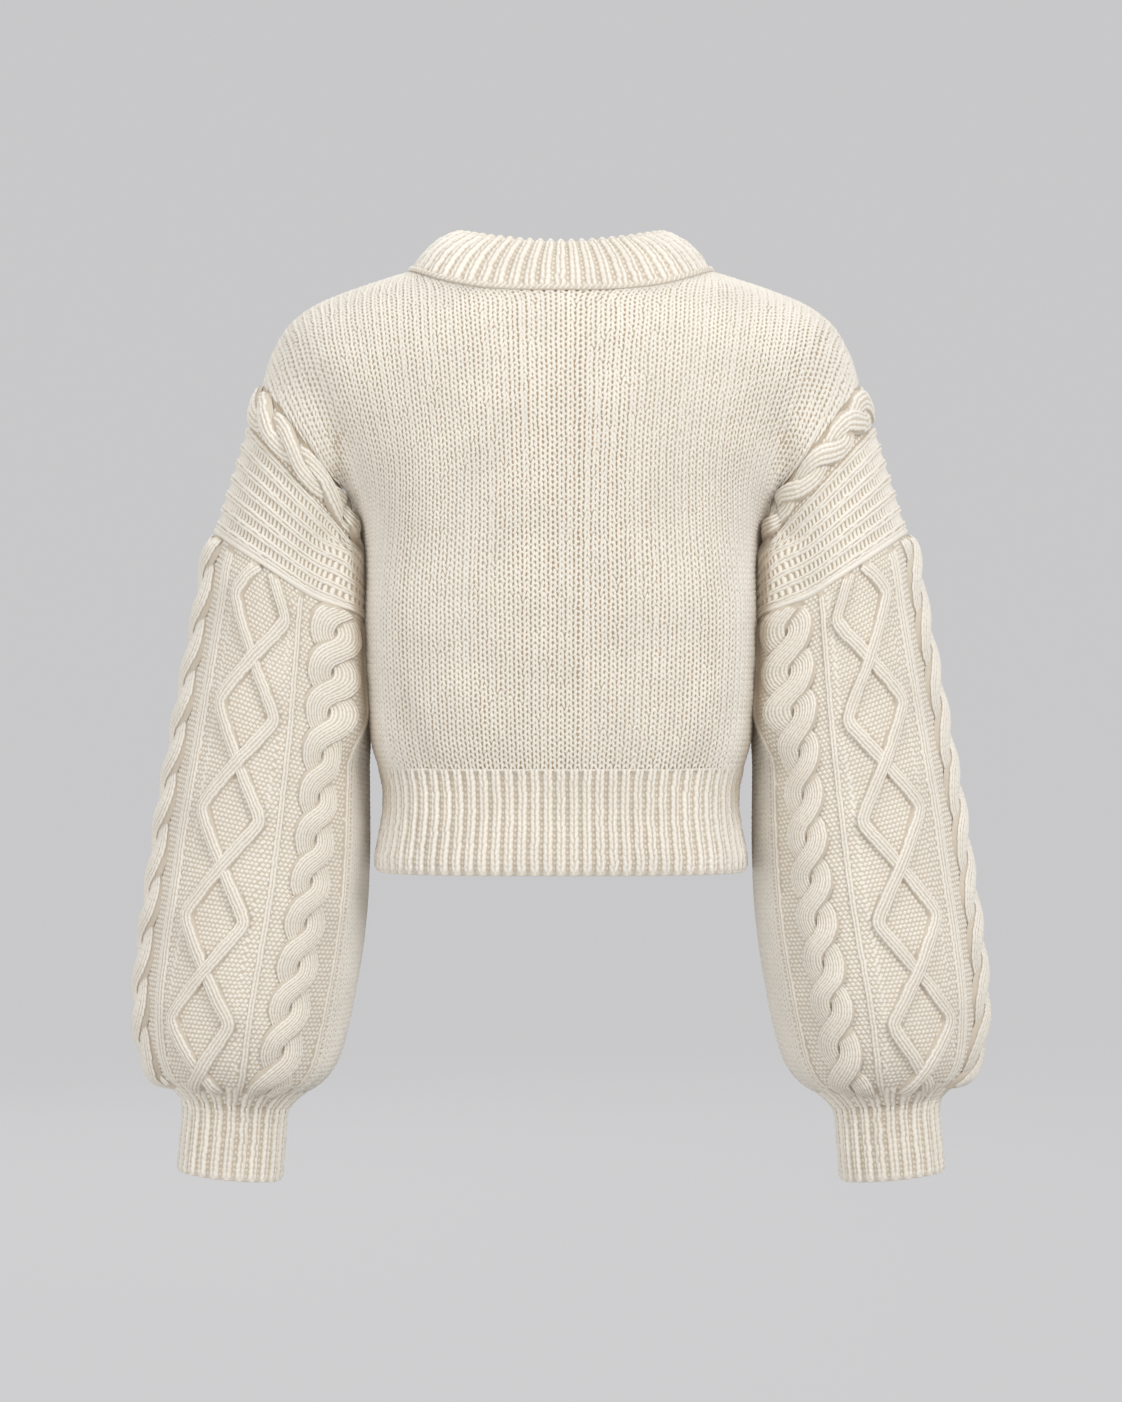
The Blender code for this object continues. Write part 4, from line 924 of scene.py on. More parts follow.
def folded(points):
    """Presses the soft folds into a piece of the body. Side 1 is the wearer's own left."""
    x, y, z = np.moveaxis(points, -1, 0)
    deep = np.zeros_like(x)
    for side, x0, z0, x1, z1, half, depth in FOLDS:
        over, up = (np.abs(x) if side == 0 else side * x) - x0, z - z0
        run = np.array([x1 - x0, z1 - z0], float)
        along = np.clip((over * run[0] + up * run[1]) / (run**2).sum(), 0, 1)
        away = np.hypot(over - along * run[0], up - along * run[1])
        deep = deep + depth * np.exp(-((away / half) ** 2))
    inward = -np.sign(y) * np.clip(np.abs(y) / 12, 0, 1)
    return np.stack([x, y + inward * deep, z], -1)


def panel_cloth(side, mirrored=False):
    """The back in one, or a front from its edge to the side."""
    half = panel_table(side, 0 if side == BACK else FRONT_EDGE)
    if side == BACK:
        half = np.concatenate([half[:, :0:-1] * np.array([-1, 1, 1]), half], axis=1)
    return Cloth(half, normals_of(half, np.array([0, side, 0])), False, mirrored)


def hem_cloth():
    """Round the hem from the left button band to the right one by way of the back."""
    rows = []
    for height in np.linspace(HEM_BOTTOM, HEM_SEAM, 13):
        front = half_section(height, FRONT, FRONT_EDGE, HEM_RIBS + 1)
        back = half_section(height, BACK, 0, HEM_RIBS + 1)
        flat = joined((front * (1, -1), back[::-1], back * (-1, 1), front[::-1] * (-1, -1)))
        rows.append(np.column_stack([flat, np.full(len(flat), height)]))
    points = np.array(rows)
    return Cloth(points, normals_of(points, points * (1, 1, 0)))


def neck_cloth():
    """Round the neck from the left button band to the right one, from the seam up."""
    rows = []
    for part in even(15):
        start = -math.acos(FRONT_EDGE / neck_ring([part], [0.0])[0, 0])
        ends = (start, 0.0, math.pi, math.pi - start)
        turns = []
        for low, high, count in zip(ends[:-1], ends[1:], NECK_COLUMNS):
            fine = np.linspace(low, high, 400)
            turns.append(along_line(neck_ring(part, fine), fine[:, None], 4 * count + 1))
        rows.append(neck_ring(part, joined(turns)[:, 0]))
    points = np.array(rows)
    return Cloth(points, normals_of(points, points * (1, 1, 0) + (0, 0, 30)))


def seam_roll_cloth(cloth, lift, radius):
    """The roll along the lower edge of a cloth, as part of a tube. It is on the inner side
    where the radius is below 0."""
    base, normal = cloth.points[0], cloth.normals[0]
    down = unit(cloth.points[0] - cloth.points[1])
    turn = np.radians(np.linspace(-40, 220, 27))[:, None, None]
    radial = normal * np.sin(turn) + down * np.cos(turn)
    return Cloth(base + lift * normal + radius * radial, radial * np.sign(radius))


def band_strip_cloth(left, right, depth):
    """A strip up the middle of the front, from the hem to the neckband's upper edge."""
    line, normal = front_line(121)
    x = np.linspace(left, right, 17)
    points = np.empty((len(line), len(x), 3))
    points[..., 0] = x
    points[..., 1:] = (line - normal * depth)[:, None]
    normals = np.zeros_like(points)
    normals[..., 1:] = normal[:, None]
    return Cloth(points, normals)


# The pieces


def knit_rows(length):
    return int(round(length / ROW))


def dress(name, knit, t, u, relief, flat, wall=WALL, unshaded=0.0):
    """The shell and the stitches of a piece, which together stand for its solid."""
    base = shell(name + "_cloth", knit.cloth, t, u, relief, wall, unshaded)
    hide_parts(name)
    stitches = knit.mesh(name + "_stitches")
    flat = (flat[0] * MM, flat[1] * MM)


def rolled_seam(knit, middle, half, rise, count, start=0.0, end=1.0, unshaded=0.7):
    """A smooth roll of knit along a seam, with slanting stitches over it."""

    def height(side):
        return rise * np.sqrt(np.clip(1 - side**2, 0, 1)) - SINK

    side, u = grid_of(np.linspace(-1, 1, 7), np.linspace(start, end, 2 * count + 1))
    knit.sheet(middle + half * side, u, height(side), unshaded)

    def layout(across, along):
        u = start + (end - start) * across / count
        return middle + half * along, u, height(along) - 0.4

    shape = leaf((-0.35, -0.85), (0.95, 0.85), (0.30, -0.1))
    knit.leaves((shape,), places(np.arange(count), [0]), layout, 1.0, margin=0.02)


def make_panel(name, side, mirrored=False):
    cloth = panel_cloth(side, mirrored)
    cloth.points = folded(cloth.points)
    knit = Knit(cloth, seed=side + 2)
    step = np.linalg.norm(np.diff(cloth.points, axis=0), axis=-1)
    half = TABLE_ROWS // 2
    low, high = step[:half].sum(0), step[half:].sum(0)
    rows = knit_rows((low + high).max())
    wales = PANEL_WALES if side == BACK else PANEL_WALES * (1 - FRONT_EDGE / 196)
    columns = even(len(low))

    def column(across, t):
        rise = np.clip((t - 0.45) / 0.55, 0, 1)
        u = across / (wales * (1 + PANEL_FAN * rise**2 * (3 - 2 * rise)))
        u = u * (1 + SIDE_WALES * np.minimum(np.abs(u), 1) ** 6)
        return 0.5 + u / 2 if side == BACK else u

    def layout(across, along):
        walked = along * ROW
        u = column(across, along / rows)
        below, above = (np.interp(u, columns, part) for part in (low, high))
        t = np.where(walked < below, walked / below, 1 + (walked - below) / above) / 2
        return t, u, -SINK

    count = int(wales * (1 + PANEL_FAN)) + 1
    across = np.arange(-count if side == BACK else 0, count) + 0.5
    lengths = np.interp(column(across, 1.0), columns, low + high)
    drift = knit.random.normal(0, 0.025, len(across))
    phases = knit.random.random(len(across)) + 0.5 * across
    spots = []
    for wale, phase, length in zip(across + drift, phases, lengths):
        fitted = knit_rows(length)
        row = places([wale], (np.arange(fitted) + 0.23) * length / (fitted * ROW))
        row[:, 0] += 0.05 * np.sin(row[:, 1] / 11 + phase)
        spots.append(row)
    spots = np.concatenate(spots)
    knit.leaves(KNIT_LEGS, spots, layout, LEG_TALL, 0.035, PAST_END)
    knit.leaves(JOIN, spots, layout, 0.95 * LEG_TALL, 0.05, PAST_END)
    neck = NECK_AT[side] / (TABLE_COLUMNS - 1)
    seams = ((0.0, 0.5 - neck / 2), (0.5 + neck / 2, 1.0)) if side == BACK else ((neck, 1.0),)
    for start, end in seams:
        rolled_seam(knit, 0.997, 0.004, 1.3, 27, start, end)
    count, wide, middle = (81, 460.0, 0.5) if side == BACK else (41, 222.0, 0.0)

    # Painted shade under the stitches: darkest about the panel's middle line, at the centre back or
    # the front edge, with slow uneven changes.
    def gap_unshaded(t, u):
        slow = np.sin(19 * u + 3 * t) + np.sin(7 * t - 11 * u) + np.sin(83 * u + 2)
        return 0.12 - 0.11 * np.exp(-(((u - middle) / 0.15) ** 2)) + 0.035 * slow

    dress(name, knit, even(49), even(count), flat_relief, (wide, 375.0), WALL, gap_unshaded)


def ribs(knit, count, rows, relief, edge, first, tall=1.4, loose=0.02):
    """Ribs along t: a raised wale of knit and a sunken one of purl in turn, up to the
    finished edge, at t of 0 or 1."""

    def layout(across, along):
        t, u = along / rows, across / count
        return t, u, relief(t, u) - SINK

    wales = np.arange(count if knit.cloth.closed else count + 1)
    along = np.arange(first, rows + 1) + 0.3
    inside = along > 0.7 if edge == 0 else along < rows - 1.15
    knit.leaves(RIB_LEGS, places(wales, along[inside]), layout, tall, loose, PAST_END)
    purl = places(np.arange(count), along[inside] + 0.2)
    knit.leaves(RIB_PURL, purl, layout, tall * 0.4, loose, PAST_END, unshaded=0.72)


def rib_relief(count, edge, length, start):
    """Ribs across a piece, which round away at its finished edge, at t of 0 or 1."""

    def relief(t, u):
        away = np.abs(t - edge) * length
        drop = 1 - np.sqrt(1 - (1 - np.clip(away / RIM_ROUND, 0, 1)) ** 2)
        sewn = 0.4 + 0.6 * np.clip((length - away) / start, 0, 1)
        wave = np.tanh(RIB_SQUARE * np.cos(2 * math.pi * count * u)) / math.tanh(RIB_SQUARE)
        return RIB_RELIEF * wave * sewn * (1 - 0.6 * drop) - RIM_ROUND * drop

    return relief


def rib_unshaded(count, edge, length):
    """Painted shade on a ribbed shell, whose ridges stay pale round the finished edge."""

    def unshaded(t, u):
        rim = eased(1.4 - np.abs(t - edge) * length / 6)
        ridge = 0.5 + 0.5 * np.cos(2 * math.pi * count * u)
        return RIB_UNSHADED + (0.72 - RIB_UNSHADED) * rim * (0.35 + 0.65 * ridge)

    return unshaded


def ribbed_rows(edge, length, count):
    """Rows of a ribbed shell, close together where its finished edge rounds away."""
    rim = np.array([0, 0.15, 0.45, 1.0]) * RIM_ROUND / length
    rows = np.r_[rim, np.linspace(rim[-1], 1, count)[1:]]
    return rows if edge == 0 else 1 - rows[::-1]


def make_ribbed(name, kind, cloth, seed, finish=None):
    """A ribbed piece with its finished edge at t of 0 or 1. Finish adds its rolled seam."""
    count, edge, length, start, first, rows, flat = RIBBED[kind]
    knit = Knit(cloth, seed)
    relief = rib_relief(count, edge, length, start)
    ribs(knit, count, knit_rows(length), relief, edge, first)
    if finish:
        finish(knit)
    t, u = ribbed_rows(edge, length, rows), even(8 * count + 1)
    dress(name, knit, t, u, relief, flat, RIB_WALL, rib_unshaded(count, edge, length))


def hem_roll(knit):
    rolled_seam(knit, 0.992, 0.014, 0.9, 180, 0.0, 1.0, 0.45)


def neck_rolls(knit):
    """The neckband's rolled seam, inside and outside."""
    cloth = knit.cloth
    t, u = grid_of(even(9), even(301))
    for lift, radius, unshaded in ((-4.6, -2.4, 0.6), (0.5, 2.0, 0.4)):
        knit.cloth = seam_roll_cloth(cloth, lift, radius)
        knit.sheet(t, u, 0 * t, unshaded)

    def layout(across, along):
        return 0.5 + along, across / 150, -0.3

    shape = leaf((-0.35, -0.36), (0.75, 0.36), (0.24, -0.03))
    knit.leaves((shape,), places(np.arange(151), [0]), layout, 1.1, margin=0.01)
    knit.cloth = cloth


def band_arcs():
    """Angles round the armhole and how far round each lies, with the armpit half way."""
    turn = np.linspace(math.pi, 0, 300)
    back, front = (walk(armhole_edge(side, 300)) for side in (BACK, FRONT))
    angles = [turn[::-1], 2 * math.pi - turn[1:]]
    shares = [0.5 - (back / back[-1] / 2)[::-1], 0.5 + (front / front[-1] / 2)[1:]]
    return np.concatenate(angles), np.concatenate(shares)


BAND_ANGLES, BAND_SHARES = band_arcs()


def band_turn(around):
    """u on the armhole band a length round it from the shoulder tip."""
    share = np.mod(around / BAND_AROUND, 1.0)
    turn = np.interp(share, BAND_SHARES, BAND_ANGLES) / (2 * math.pi)
    return turn + np.floor(around / BAND_AROUND)


def bent(u):
    """Degrees from the shoulder tip round the armhole, up to 180 at the armpit."""
    return 180 - np.abs(np.mod(u, 1.0) * 360 - 180)


def welt_relief(t, u):
    """The welts, which lie lower under the arm."""
    turn = 2 * math.pi * (t - WELT_START) / (WELT_END - WELT_START) * WELTS
    inside = (t > WELT_START) & (t < WELT_END)
    height = np.where(inside, WELT_RELIEF * (0.5 - 0.5 * np.cos(turn)), 0)
    return height * (0.3 + 0.7 * np.clip((172 - bent(u)) / 18, 0, 1))


def make_band(name, mirrored):
    cloth = tube_cloth(pressed(band_point), 41, 361, mirrored)
    cloth.points = folded(cloth.points)
    knit = Knit(cloth, seed=14)
    flip = -1 if mirrored else 1

    def to_cloth(across, along):
        return ROPE_MIDDLE - flip * across / BAND_MM, band_turn(along)

    def fade(along):
        turn = bent(band_turn(along))
        return (0.25 + 0.75 * eased((168 - turn) / 40)) * (0.55 + 0.45 * eased(turn / 45))

    cords = rope_cords(BAND_AROUND, "band")
    for cord, other in (cords, cords[::-1]):
        add_cord(knit, cord, [other], 2, to_cloth, fade, 1.3)
    step = BAND_AROUND / BAND_STITCHES

    def welt_layout(across, along):
        t = WELT_START + along / WELTS * (WELT_END - WELT_START)
        u = band_turn(across * step)
        return t, u, welt_relief(t, u) - SINK

    chain = leaf((-0.45, -0.03), (1.3, 0.03), (0.0, 0.13))
    crests = np.arange(WELTS) + 0.5
    for side in (-0.14, 0.14):
        spots = places(np.arange(BAND_STITCHES), crests + side)
        knit.leaves((chain,), spots, welt_layout, 1.5, 0.02)
    bar = leaf((-0.05, -0.36), (0.05, 0.36), (0.30, 0.0))
    bars = np.linspace(0, BAND_STITCHES, BAND_BARS, endpoint=False)
    knit.leaves((bar,), places(bars, np.arange(1, WELTS)), welt_layout, 1.2, 0.02)

    def seed_layout(across, along):
        t = 0.012 + along * 0.036
        return t, band_turn(across * step), -SINK

    knit.leaves(PURL, places(np.arange(BAND_STITCHES), np.arange(8), 0.5), seed_layout, 1.3)
    rolled_seam(knit, 0.976, 0.024, 2.6, 110)
    dress(name, knit, even(59), even(97), welt_relief, (430.0, 93.0), WALL, 0.18)


LINE_SHIFT = ((0.0, 0.0), (18.0, 1.0), (78.0, 10.0), (126.0, 10.0), (180.0, 0.0))


def sleeve_line(part, top):
    """Angle, in degrees from the outer line, of a line of the knit that starts at the
    sleeve's top at an angle. The lines follow the cables."""
    at, shift = zip(*LINE_SHIFT)
    return top - np.interp(top, at, shift) * part


SLEEVE_STEPS = even(81)
SLEEVE_RADII = [
    walk(sleeve_point(np.full(91, part), 2 * math.pi * even(91)))[-1] / (2 * math.pi)
    for part in SLEEVE_STEPS
]


def to_angle(part):
    """Radians to a millimetre of a cable, which draws together where the sleeve is thin."""
    radius = np.interp(part, SLEEVE_STEPS, SLEEVE_RADII)
    return np.minimum(1.0, radius / FULL_RADIUS) / radius


def sleeve_column(top, half, flip):
    """The layout of a column of the sleeve, on its back (1) or front (-1) half."""

    def to_cloth(across, along):
        part = along / SLEEVE_LONG
        middle = np.radians(sleeve_line(part, top)) * half
        return part, (middle + flip * across * to_angle(part)) / (2 * math.pi)

    return to_cloth


def end_fade(along):
    """Height of the cables, which are drawn under at the sleeve seam and at the cuff."""
    share = np.clip(np.minimum(along / 9, (CABLE_END - along) / 15), 0, 1)
    return np.sqrt(1 - (1 - share) ** 2)


RIBS = (
    # angle at the top, wales
    (45.5, 2),
    (105.5, 1),
    (147.0, 1),
)


def make_sleeve(name, mirrored):
    knit = Knit(sleeve_cloth(mirrored), seed=15)
    flip = -1 if mirrored else 1
    tops = {kind: top for kind, top, _ in CABLES}
    rope, braid = (rope_cords(SLEEVE_LONG, kind) for kind in ("rope", "braid"))
    lattice = lattice_cords(SLEEVE_LONG)
    along = np.linspace(0, SLEEVE_LONG, 200)
    for half in (1, -1):
        for kind, cords, wales in (("rope", rope, 4), ("braid", braid, 4), ("lattice", lattice, 2)):
            to_cloth = sleeve_column(tops[kind], half, flip)
            for cord, other in (cords, cords[::-1]):
                add_cord(knit, cord, [other], wales, to_cloth, end_fade, 1.0, CABLE_END)
        for top, wales in RIBS:
            rib = Cord(along, 0 * along, 0 * along - 1.6, 3.1 * wales, 2.4)
            to_cloth = sleeve_column(top, half, flip)
            add_cord(knit, rib, [], wales, to_cloth, end_fade, 1.0, CABLE_END)
        add_lattice_ground(knit, lattice, sleeve_column(tops["lattice"], half, flip))
        add_ground(knit, half)
    add_cuff_tops(knit)
    t, u = np.r_[np.linspace(0, 0.9, 34), np.linspace(0.91, 1, 10)], even(8 * CUFF_RIBS + 1)
    dress(name, knit, t, u, flat_relief, (430.0, 400.0), WALL, 0.3)


def add_cuff_tops(knit):
    """The cuff's ribs, which run on up the sleeve and end at uneven heights."""

    def layout(across, along):
        t = 1 - (along * ROW + 0.5) / SLEEVE_LONG
        return t, across / CUFF_RIBS, -SINK

    rows = int(CUFF_REACH / ROW)
    legs, purl = ([shape * (1, -1, 1) for shape in form] for form in (RIB_LEGS, RIB_PURL))
    high = knit.random.random(CUFF_RIBS) < 0.5
    spots = places(np.arange(CUFF_RIBS), np.arange(rows + 1) + 0.3)
    low = spots[:, 1] < rows
    knit.leaves(legs, spots[low | high[spots[:, 0].astype(int)]], layout, 1.5, 0.02, 0.01)
    knit.leaves(purl, spots[low], layout, 0.6, 0.02, 0.01)


def add_lattice_ground(knit, cords, to_cloth, pitch=3.3):
    """Fine slanting purl inside and beside the diamonds."""

    def layout(across, along):
        t, u = to_cloth(across * pitch, along * pitch)
        return t, u, -SINK

    rows = int((SLEEVE_LONG - CUFF_REACH) / pitch)
    spots = places(np.arange(-8.5, 8.5), np.arange(rows) + 0.5, 0.5)
    covered = np.zeros(len(spots), bool)
    for cord in cords:
        middle = cord.read(spots[:, 1] * pitch)[0]
        covered |= np.abs(spots[:, 0] * pitch - middle) < LATTICE_CORD
    knit.leaves(DASH, spots[~covered], layout, 1.0)


UNDERARM = 151.0  # the knit is plain from this angle on
GROUND = (
    # shapes, first and last angle at the top, degrees to a wale, length of a row, brick, tall
    (DASH, 0.0, UNDERARM, 2.62, 3.4, 0.5, 1.0),
    (KNIT_LEGS, UNDERARM, 180.0, 4.15, ROW, 0.0, 1.6),
)


def add_ground(knit, half):
    """Purl between the cables, and plain knit under the arm."""
    reach = [(top, wide) for _, top, wide in CABLES]
    reach += [(top, 2.4 * wales) for top, wales in RIBS]
    for shapes, first, last, pitch, row, brick, tall in GROUND:

        def line_of(across, along):
            part = along * row / SLEEVE_LONG
            return part, sleeve_line(part, first + across * pitch)

        def layout(across, along):
            part, line = line_of(across, along)
            return part, half * np.radians(line) / (2 * math.pi), -SINK

        rows = int((SLEEVE_LONG - CUFF_REACH) / row) - 1
        across = np.arange(0.5 * half, (last - first) / pitch)
        spots = places(across, np.arange(-1, rows + 1) + 0.5, brick)
        spots = spots[spots[:, 0] >= 0]
        part, line = line_of(*spots.T)
        covered = np.zeros(len(spots), bool)
        for top, wide in reach:
            away = np.radians(line - sleeve_line(part, top)) / to_angle(part)
            covered |= np.abs(away) < wide
        knit.leaves(shapes, spots[~covered], layout, tall, margin=0.012)


def make_button_bands():
    edge = FRONT_EDGE
    knit = Knit(band_strip_cloth(-edge, edge, 0.0), seed=16)
    rows = knit_rows(430)

    def relief(t, u):
        return RIB_RELIEF * (0.5 - 0.5 * np.cos(8 * math.pi * u))

    def layout(across, along):
        u = across / 4
        return along / rows, u, relief(u, u) - SINK

    legs = [shape * (1.1, 1, 1) for shape in RIB_LEGS]
    spots = places(np.arange(4) + 0.5, np.arange(rows) + 0.3)
    knit.leaves(legs, spots, layout, 1.7, margin=0.02)
    purl = places(np.arange(3) + 0.5, np.arange(rows) + 0.5)
    knit.leaves(RIB_PURL, purl, layout, 1.3, margin=0.01, unshaded=0.8)
    dress("button_band_over", knit, even(91), even(25), relief, (28.0, 430.0), WALL, 0.35)
    under = band_strip_cloth(3 - edge, edge, WALL + 0.3 - SINK)
    base = shell("button_band_under_cloth", under, even(61), even(9), flat_relief, WALL, 0.5)
    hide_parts("button_band_under")


BUTTON_RIM = (
    # distance from the axis, height over the band
    (0.01, 0.1), (6.0, 0.1), (9.2, 0.3), (10.2, 1.1), (10.5, 2.0), (10.2, 2.9), (9.4, 3.5),
    (8.6, 3.6), (7.7, 3.3), (6.6, 2.5), (5.0, 2.2),
)
BUTTON_FACE = 2.2  # height of the face inside the rim
BUTTON_SIDES = 48
THREAD_RADIUS = 0.5


def make_button(name, part):
    """A round button with a rim and four holes, sewn on with thread."""
    line, normal = front_line(201)
    at = int(round(part * 200))
    out = np.array([0, *normal[at]])
    up = np.array([0, -out[2], out[1]])
    across = np.cross(up, out)
    centre = np.array([0, *line[at] + normal[at] * (RIB_RELIEF + 0.3)])
    profile = BUTTON_RIM + tuple((radius, BUTTON_FACE) for radius in np.linspace(4.4, 0.01, 12))
    holes = HOLE_PLACE * np.array([(1, 1), (-1, 1), (-1, -1), (1, -1)])
    turn = np.linspace(0, 2 * math.pi, BUTTON_SIDES, endpoint=False)
    rings = []
    for row, (radius, height) in enumerate(profile):
        flat = radius * np.stack([np.cos(turn), np.sin(turn)], -1)
        away = np.linalg.norm(flat[:, None] - holes, axis=-1).min(-1)
        sunk = 1.8 * eased((HOLE_RADIUS + 0.15 - away) / 0.35) * (row >= len(BUTTON_RIM))
        rings.append(centre + flat @ np.stack([across, up]) + out * (height - sunk)[:, None])
    points = np.concatenate(rings)
    number, faces = numbered(len(profile), BUTTON_SIDES, True)
    steps = range(1, BUTTON_SIDES - 1)
    caps = [[number[0, 0], number[0, k + 1], number[0, k]] for k in steps]
    caps += [[number[-1, 0], number[-1, k], number[-1, k + 1]] for k in steps]
    faces = np.concatenate([faces, np.array(caps)])
    flat = (points - centre) @ np.column_stack([across, up]) / (2 * BUTTON_RADIUS) + 0.5
    button = mesh_piece(name + "_disc", points, faces, flat, np.ones(len(points)), "button")
    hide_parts(name)
    share = even(9)[:, None, None]
    turn = np.linspace(0, 2 * math.pi, 8, endpoint=False)[None, :, None]
    tubes = []
    for row in (1, -1):
        line = (2 * share - 1) * HOLE_PLACE * across + row * HOLE_PLACE * up
        line = centre + line + (1.0 + 1.9 * np.sqrt(np.sin(math.pi * share))) * out
        tube = line + THREAD_RADIUS * (np.cos(turn) * up + np.sin(turn) * out)
        tubes.append(tube.reshape(-1, 3))
    points = np.concatenate(tubes)
    faces = [numbered(9, 8, True, start)[1][:, ::-1] for start in (0, 72)]
    uv = 0 * points[:, :2] + 0.5
    mesh_piece(name + "_thread", points, np.concatenate(faces), uv, np.ones(len(points)))


# Materials, studio and camera


def node(tree, kind, inputs=None, **settings):
    made = tree.nodes.new(kind)
    for key, value in settings.items():
        setattr(made, key, value)
    fill(tree, made, inputs or {})
    return made


def fill(tree, made, inputs):
    """Sets or links the inputs of a node."""
    for key, value in inputs.items():
        if isinstance(value, bpy.types.NodeSocket):
            tree.links.new(value, made.inputs[key])
        else:
            made.inputs[key].default_value = value


def new_material(name):
    material = bpy.data.materials.new(name)
    material.use_nodes = True
    tree = material.node_tree
    return material, tree, tree.nodes["Principled BSDF"]


def wool_material():
    """Matt wool: cream on the stitches and painted shade in tan between them, in sunken ribs and in
    the slot between body and arm, with slow patches of paler and darker tone and a fine fuzz."""
    material, tree, shader = new_material("wool_yarn")
    place = node(tree, "ShaderNodeTexCoord").outputs["Object"]
    # Painted shade: tan where the unshaded value is low, cream from 0.75 up.
    unshaded = node(tree, "ShaderNodeAttribute", attribute_name="unshaded").outputs["Fac"]
    ramp = node(tree, "ShaderNodeMapRange", {"From Max": 0.75, "Value": unshaded}, clamp=True)
    ends = {"A": (*PAINTED_SHADE, 1), "B": (*CREAM, 1), "Factor": ramp.outputs["Result"]}
    colour = node(tree, "ShaderNodeMix", ends, data_type="RGBA").outputs["Result"]
    patches = node(tree, "ShaderNodeTexNoise", {"Scale": 28.0, "Detail": 3.0, "Vector": place})
    reach = {"From Min": 0.3, "From Max": 0.7, "To Min": 0.95, "To Max": 1.03}
    shade = node(tree, "ShaderNodeMapRange", {**reach, "Value": patches.outputs["Fac"]})
    scaled = {0: colour, "Scale": shade.outputs["Result"]}
    tint = node(tree, "ShaderNodeVectorMath", scaled, operation="SCALE")
    fibres = node(tree, "ShaderNodeTexNoise", {"Scale": 1400.0, "Detail": 4.0, "Vector": place})
    fuzz = {"Strength": 0.5, "Distance": 0.0005, "Height": fibres.outputs["Fac"]}
    bump = node(tree, "ShaderNodeBump", fuzz)
    fill(tree, shader, {
        "Base Color": tint.outputs["Vector"],
        "Normal": bump.outputs["Normal"],
        "Roughness": 0.92,
        "Sheen Weight": 0.35,
        "Sheen Roughness": 0.6,
        "Sheen Tint": (1.0, 0.96, 0.9, 1),
        "Specular IOR Level": 0.2,
        # Painted light: a faint warm glow that lifts the wool's shadows, standing in for the light
        # that wool passes on into them.
        "Emission Color": (1.0, 0.74, 0.48, 1),
        "Emission Strength": 0.016,
    })
    return material


def horn_material():
    """Satin horn-like plastic with soft streaks."""
    material, tree, shader = new_material("horn")
    place = node(tree, "ShaderNodeTexCoord").outputs["Object"]
    noise = {"Scale": 160.0, "Distortion": 1.5, "Vector": place}
    streaks = node(tree, "ShaderNodeTexNoise", noise)
    ramp = node(tree, "ShaderNodeValToRGB", {"Fac": streaks.outputs["Fac"]})
    ramp.color_ramp.elements[0].color = (0.30, 0.20, 0.11, 1)
    ramp.color_ramp.elements[1].color = (0.62, 0.50, 0.36, 1)
    fill(tree, shader, {"Roughness": 0.35, "Base Color": ramp.outputs["Color"]})
    return material


MATERIALS = {"wool": wool_material(), "button": horn_material()}  # by slot


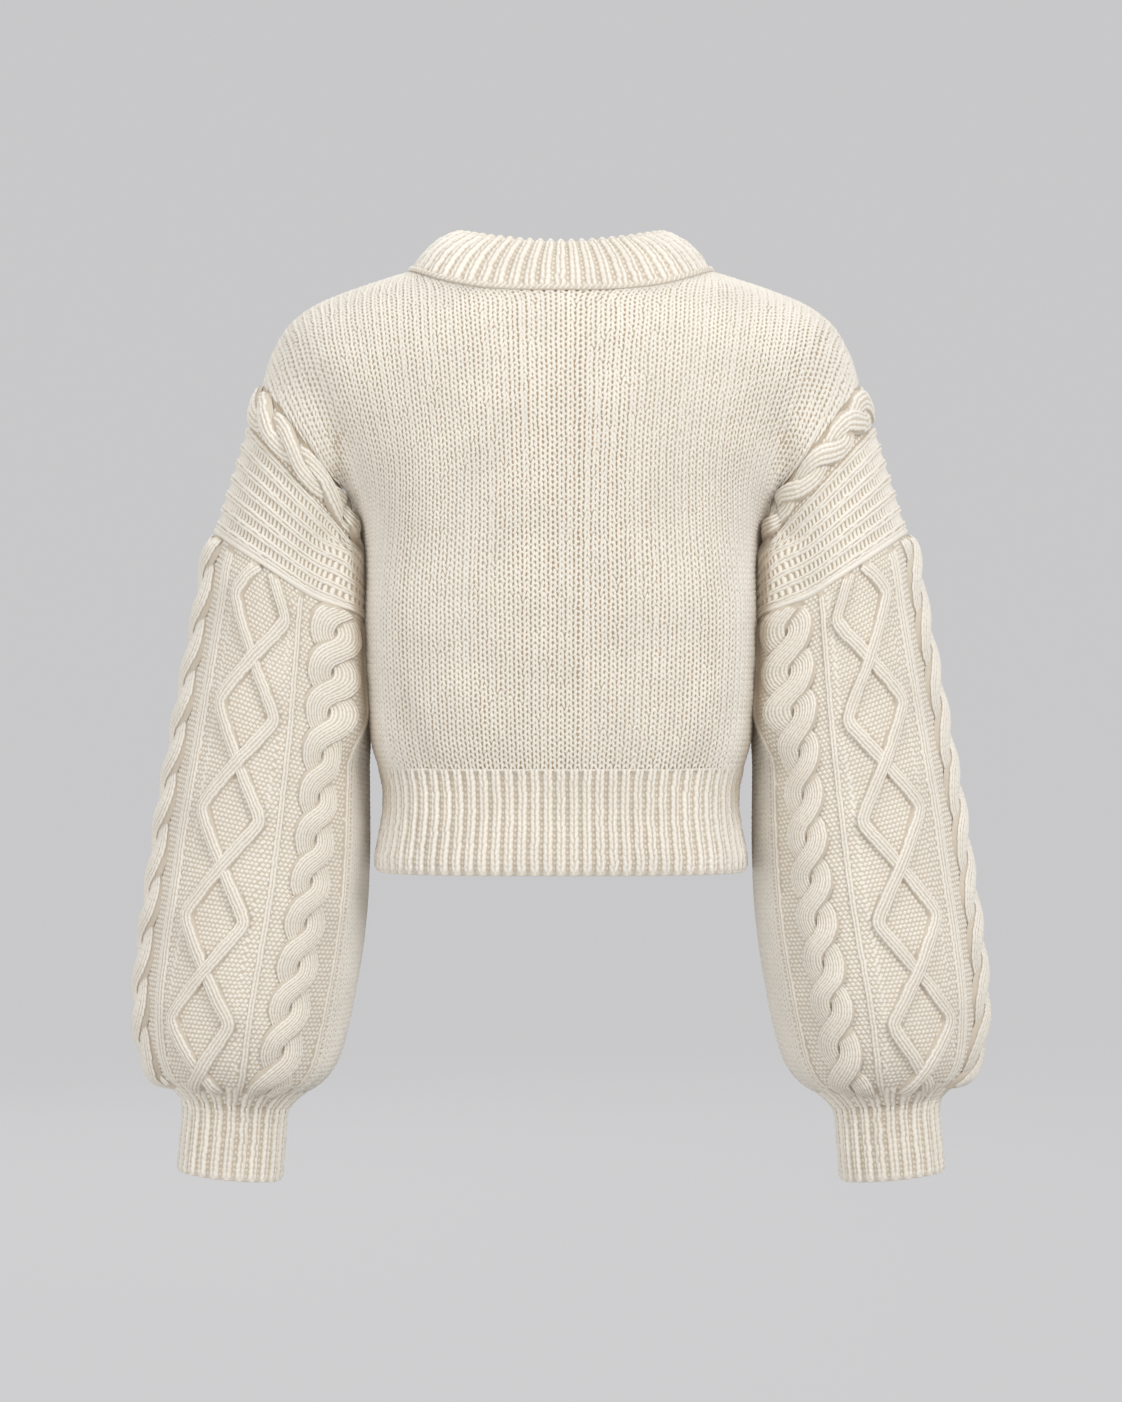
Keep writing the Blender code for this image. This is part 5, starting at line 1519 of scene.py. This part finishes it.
def backdrop():
    """A pale floor that curves up into a wall all round."""
    profile = [(1.5, 0.0), (3.0, 0.0), (4.2, 0.0)]
    for bend in np.linspace(0.1, 1.5708, 16):
        profile.append((4.2 + 1.8 * math.sin(bend), 1.8 - 1.8 * math.cos(bend)))
    profile += [(6.0, 2.6), (6.0, 3.6)]
    sides = 96
    points = [(0, 0, FLOOR)]
    for radius, height in profile:
        for a in np.linspace(0, 2 * math.pi, sides, endpoint=False):
            points.append((radius * math.cos(a), radius * math.sin(a), FLOOR + height))
    faces = [(0, 1 + k, 1 + (k + 1) % sides) for k in range(sides)]
    for ring in range(len(profile) - 1):
        a, b = 1 + ring * sides, 1 + (ring + 1) * sides
        faces += [(a + k, b + k, b + (k + 1) % sides, a + (k + 1) % sides) for k in range(sides)]
    mesh = bpy.data.meshes.new("studio")
    mesh.from_pydata(points, [], faces)
    mesh.shade_smooth()
    material, tree, shader = new_material("studio")
    fill(tree, shader, {
        "Base Color": (0.05, 0.05, 0.05, 1),
        "Emission Color": (1.0, 1.0, 1.02, 1),
        "Emission Strength": 0.545,
        "Roughness": 0.95,
        "Specular IOR Level": 0.1,
    })
    mesh.materials.append(material)
    thing = bpy.data.objects.new("studio", mesh)
    bpy.context.scene.collection.objects.link(thing)
    thing.visible_diffuse = False  # the world lights the knit, not the backdrop
    thing.visible_shadow = False
    thing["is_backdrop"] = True


def area_light(name, place, aim, size, power):
    data = bpy.data.lights.new(name, "AREA")
    data.size = size
    data.energy = power
    lamp = bpy.data.objects.new(name, data)
    lamp.location = place
    lamp.rotation_euler = (Vector(aim) - Vector(place)).to_track_quat("-Z", "Y").to_euler()
    bpy.context.scene.collection.objects.link(lamp)


FLOOR = -1.05
LIGHTS = (
    # name, place, aim, size, power
    ("key", (-1.9, 2.4, 1.1), (0, 0, -0.35), 1.3, 48.0),
    ("fill", (2.3, 2.4, -0.3), (0, 0, -0.4), 2.2, 31.0),
    ("near", (0.0, 2.45, 0.1), (0, 0, -0.35), 0.8, 5.0),
    ("front", (0.8, -3.0, 1.2), (0, 0, -0.3), 2.4, 60.0),
    ("top", (0.0, 0.3, 2.3), (0, 0, -0.3), 2.0, 18.0),
)


def studio():
    backdrop()
    for name, place, aim, size, power in LIGHTS:
        area_light(name, place, aim, size, power)
    world = bpy.data.worlds.new("studio")
    bpy.context.scene.world = world
    world.use_nodes = True
    background = world.node_tree.nodes["Background"]
    background.inputs["Color"].default_value = (1.0, 0.98, 0.95, 1)
    background.inputs["Strength"].default_value = 0.51
    data = bpy.data.cameras.new("camera")
    data.sensor_fit = "VERTICAL"
    data.sensor_height = 36.0
    data.lens = 85.6
    camera = bpy.data.objects.new("camera", data)
    camera.location = (0, 2.5, -0.322)
    camera.rotation_euler = (math.pi / 2, 0, math.pi)
    bpy.context.scene.collection.objects.link(camera)
    bpy.context.scene.camera = camera
    bpy.context.scene.view_settings.view_transform = "Standard"


def main():
    make_panel("back", BACK)
    for side, mirrored in (("left", False), ("right", True)):
        make_panel("front_" + side, FRONT, mirrored)
        make_band("armhole_band_" + side, mirrored)
        make_sleeve("sleeve_" + side, mirrored)
        make_ribbed("cuff_" + side, "cuff", tube_cloth(cuff_point, 21, 193, mirrored), 11)
    make_ribbed("hem_rib", "hem", hem_cloth(), 12, hem_roll)
    make_ribbed("neckband", "neck", neck_cloth(), 13, neck_rolls)
    make_button_bands()
    for number, part in enumerate(np.linspace(TOP_BUTTON, BOTTOM_BUTTON, BUTTONS), 1):
        make_button(f"button_{number}", part)
    studio()


main()
boxes = {"cad": CAD_BOX, "visual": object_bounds()}
boxes = {key: [[float(v) for v in corner] for corner in box] for key, box in boxes.items()}
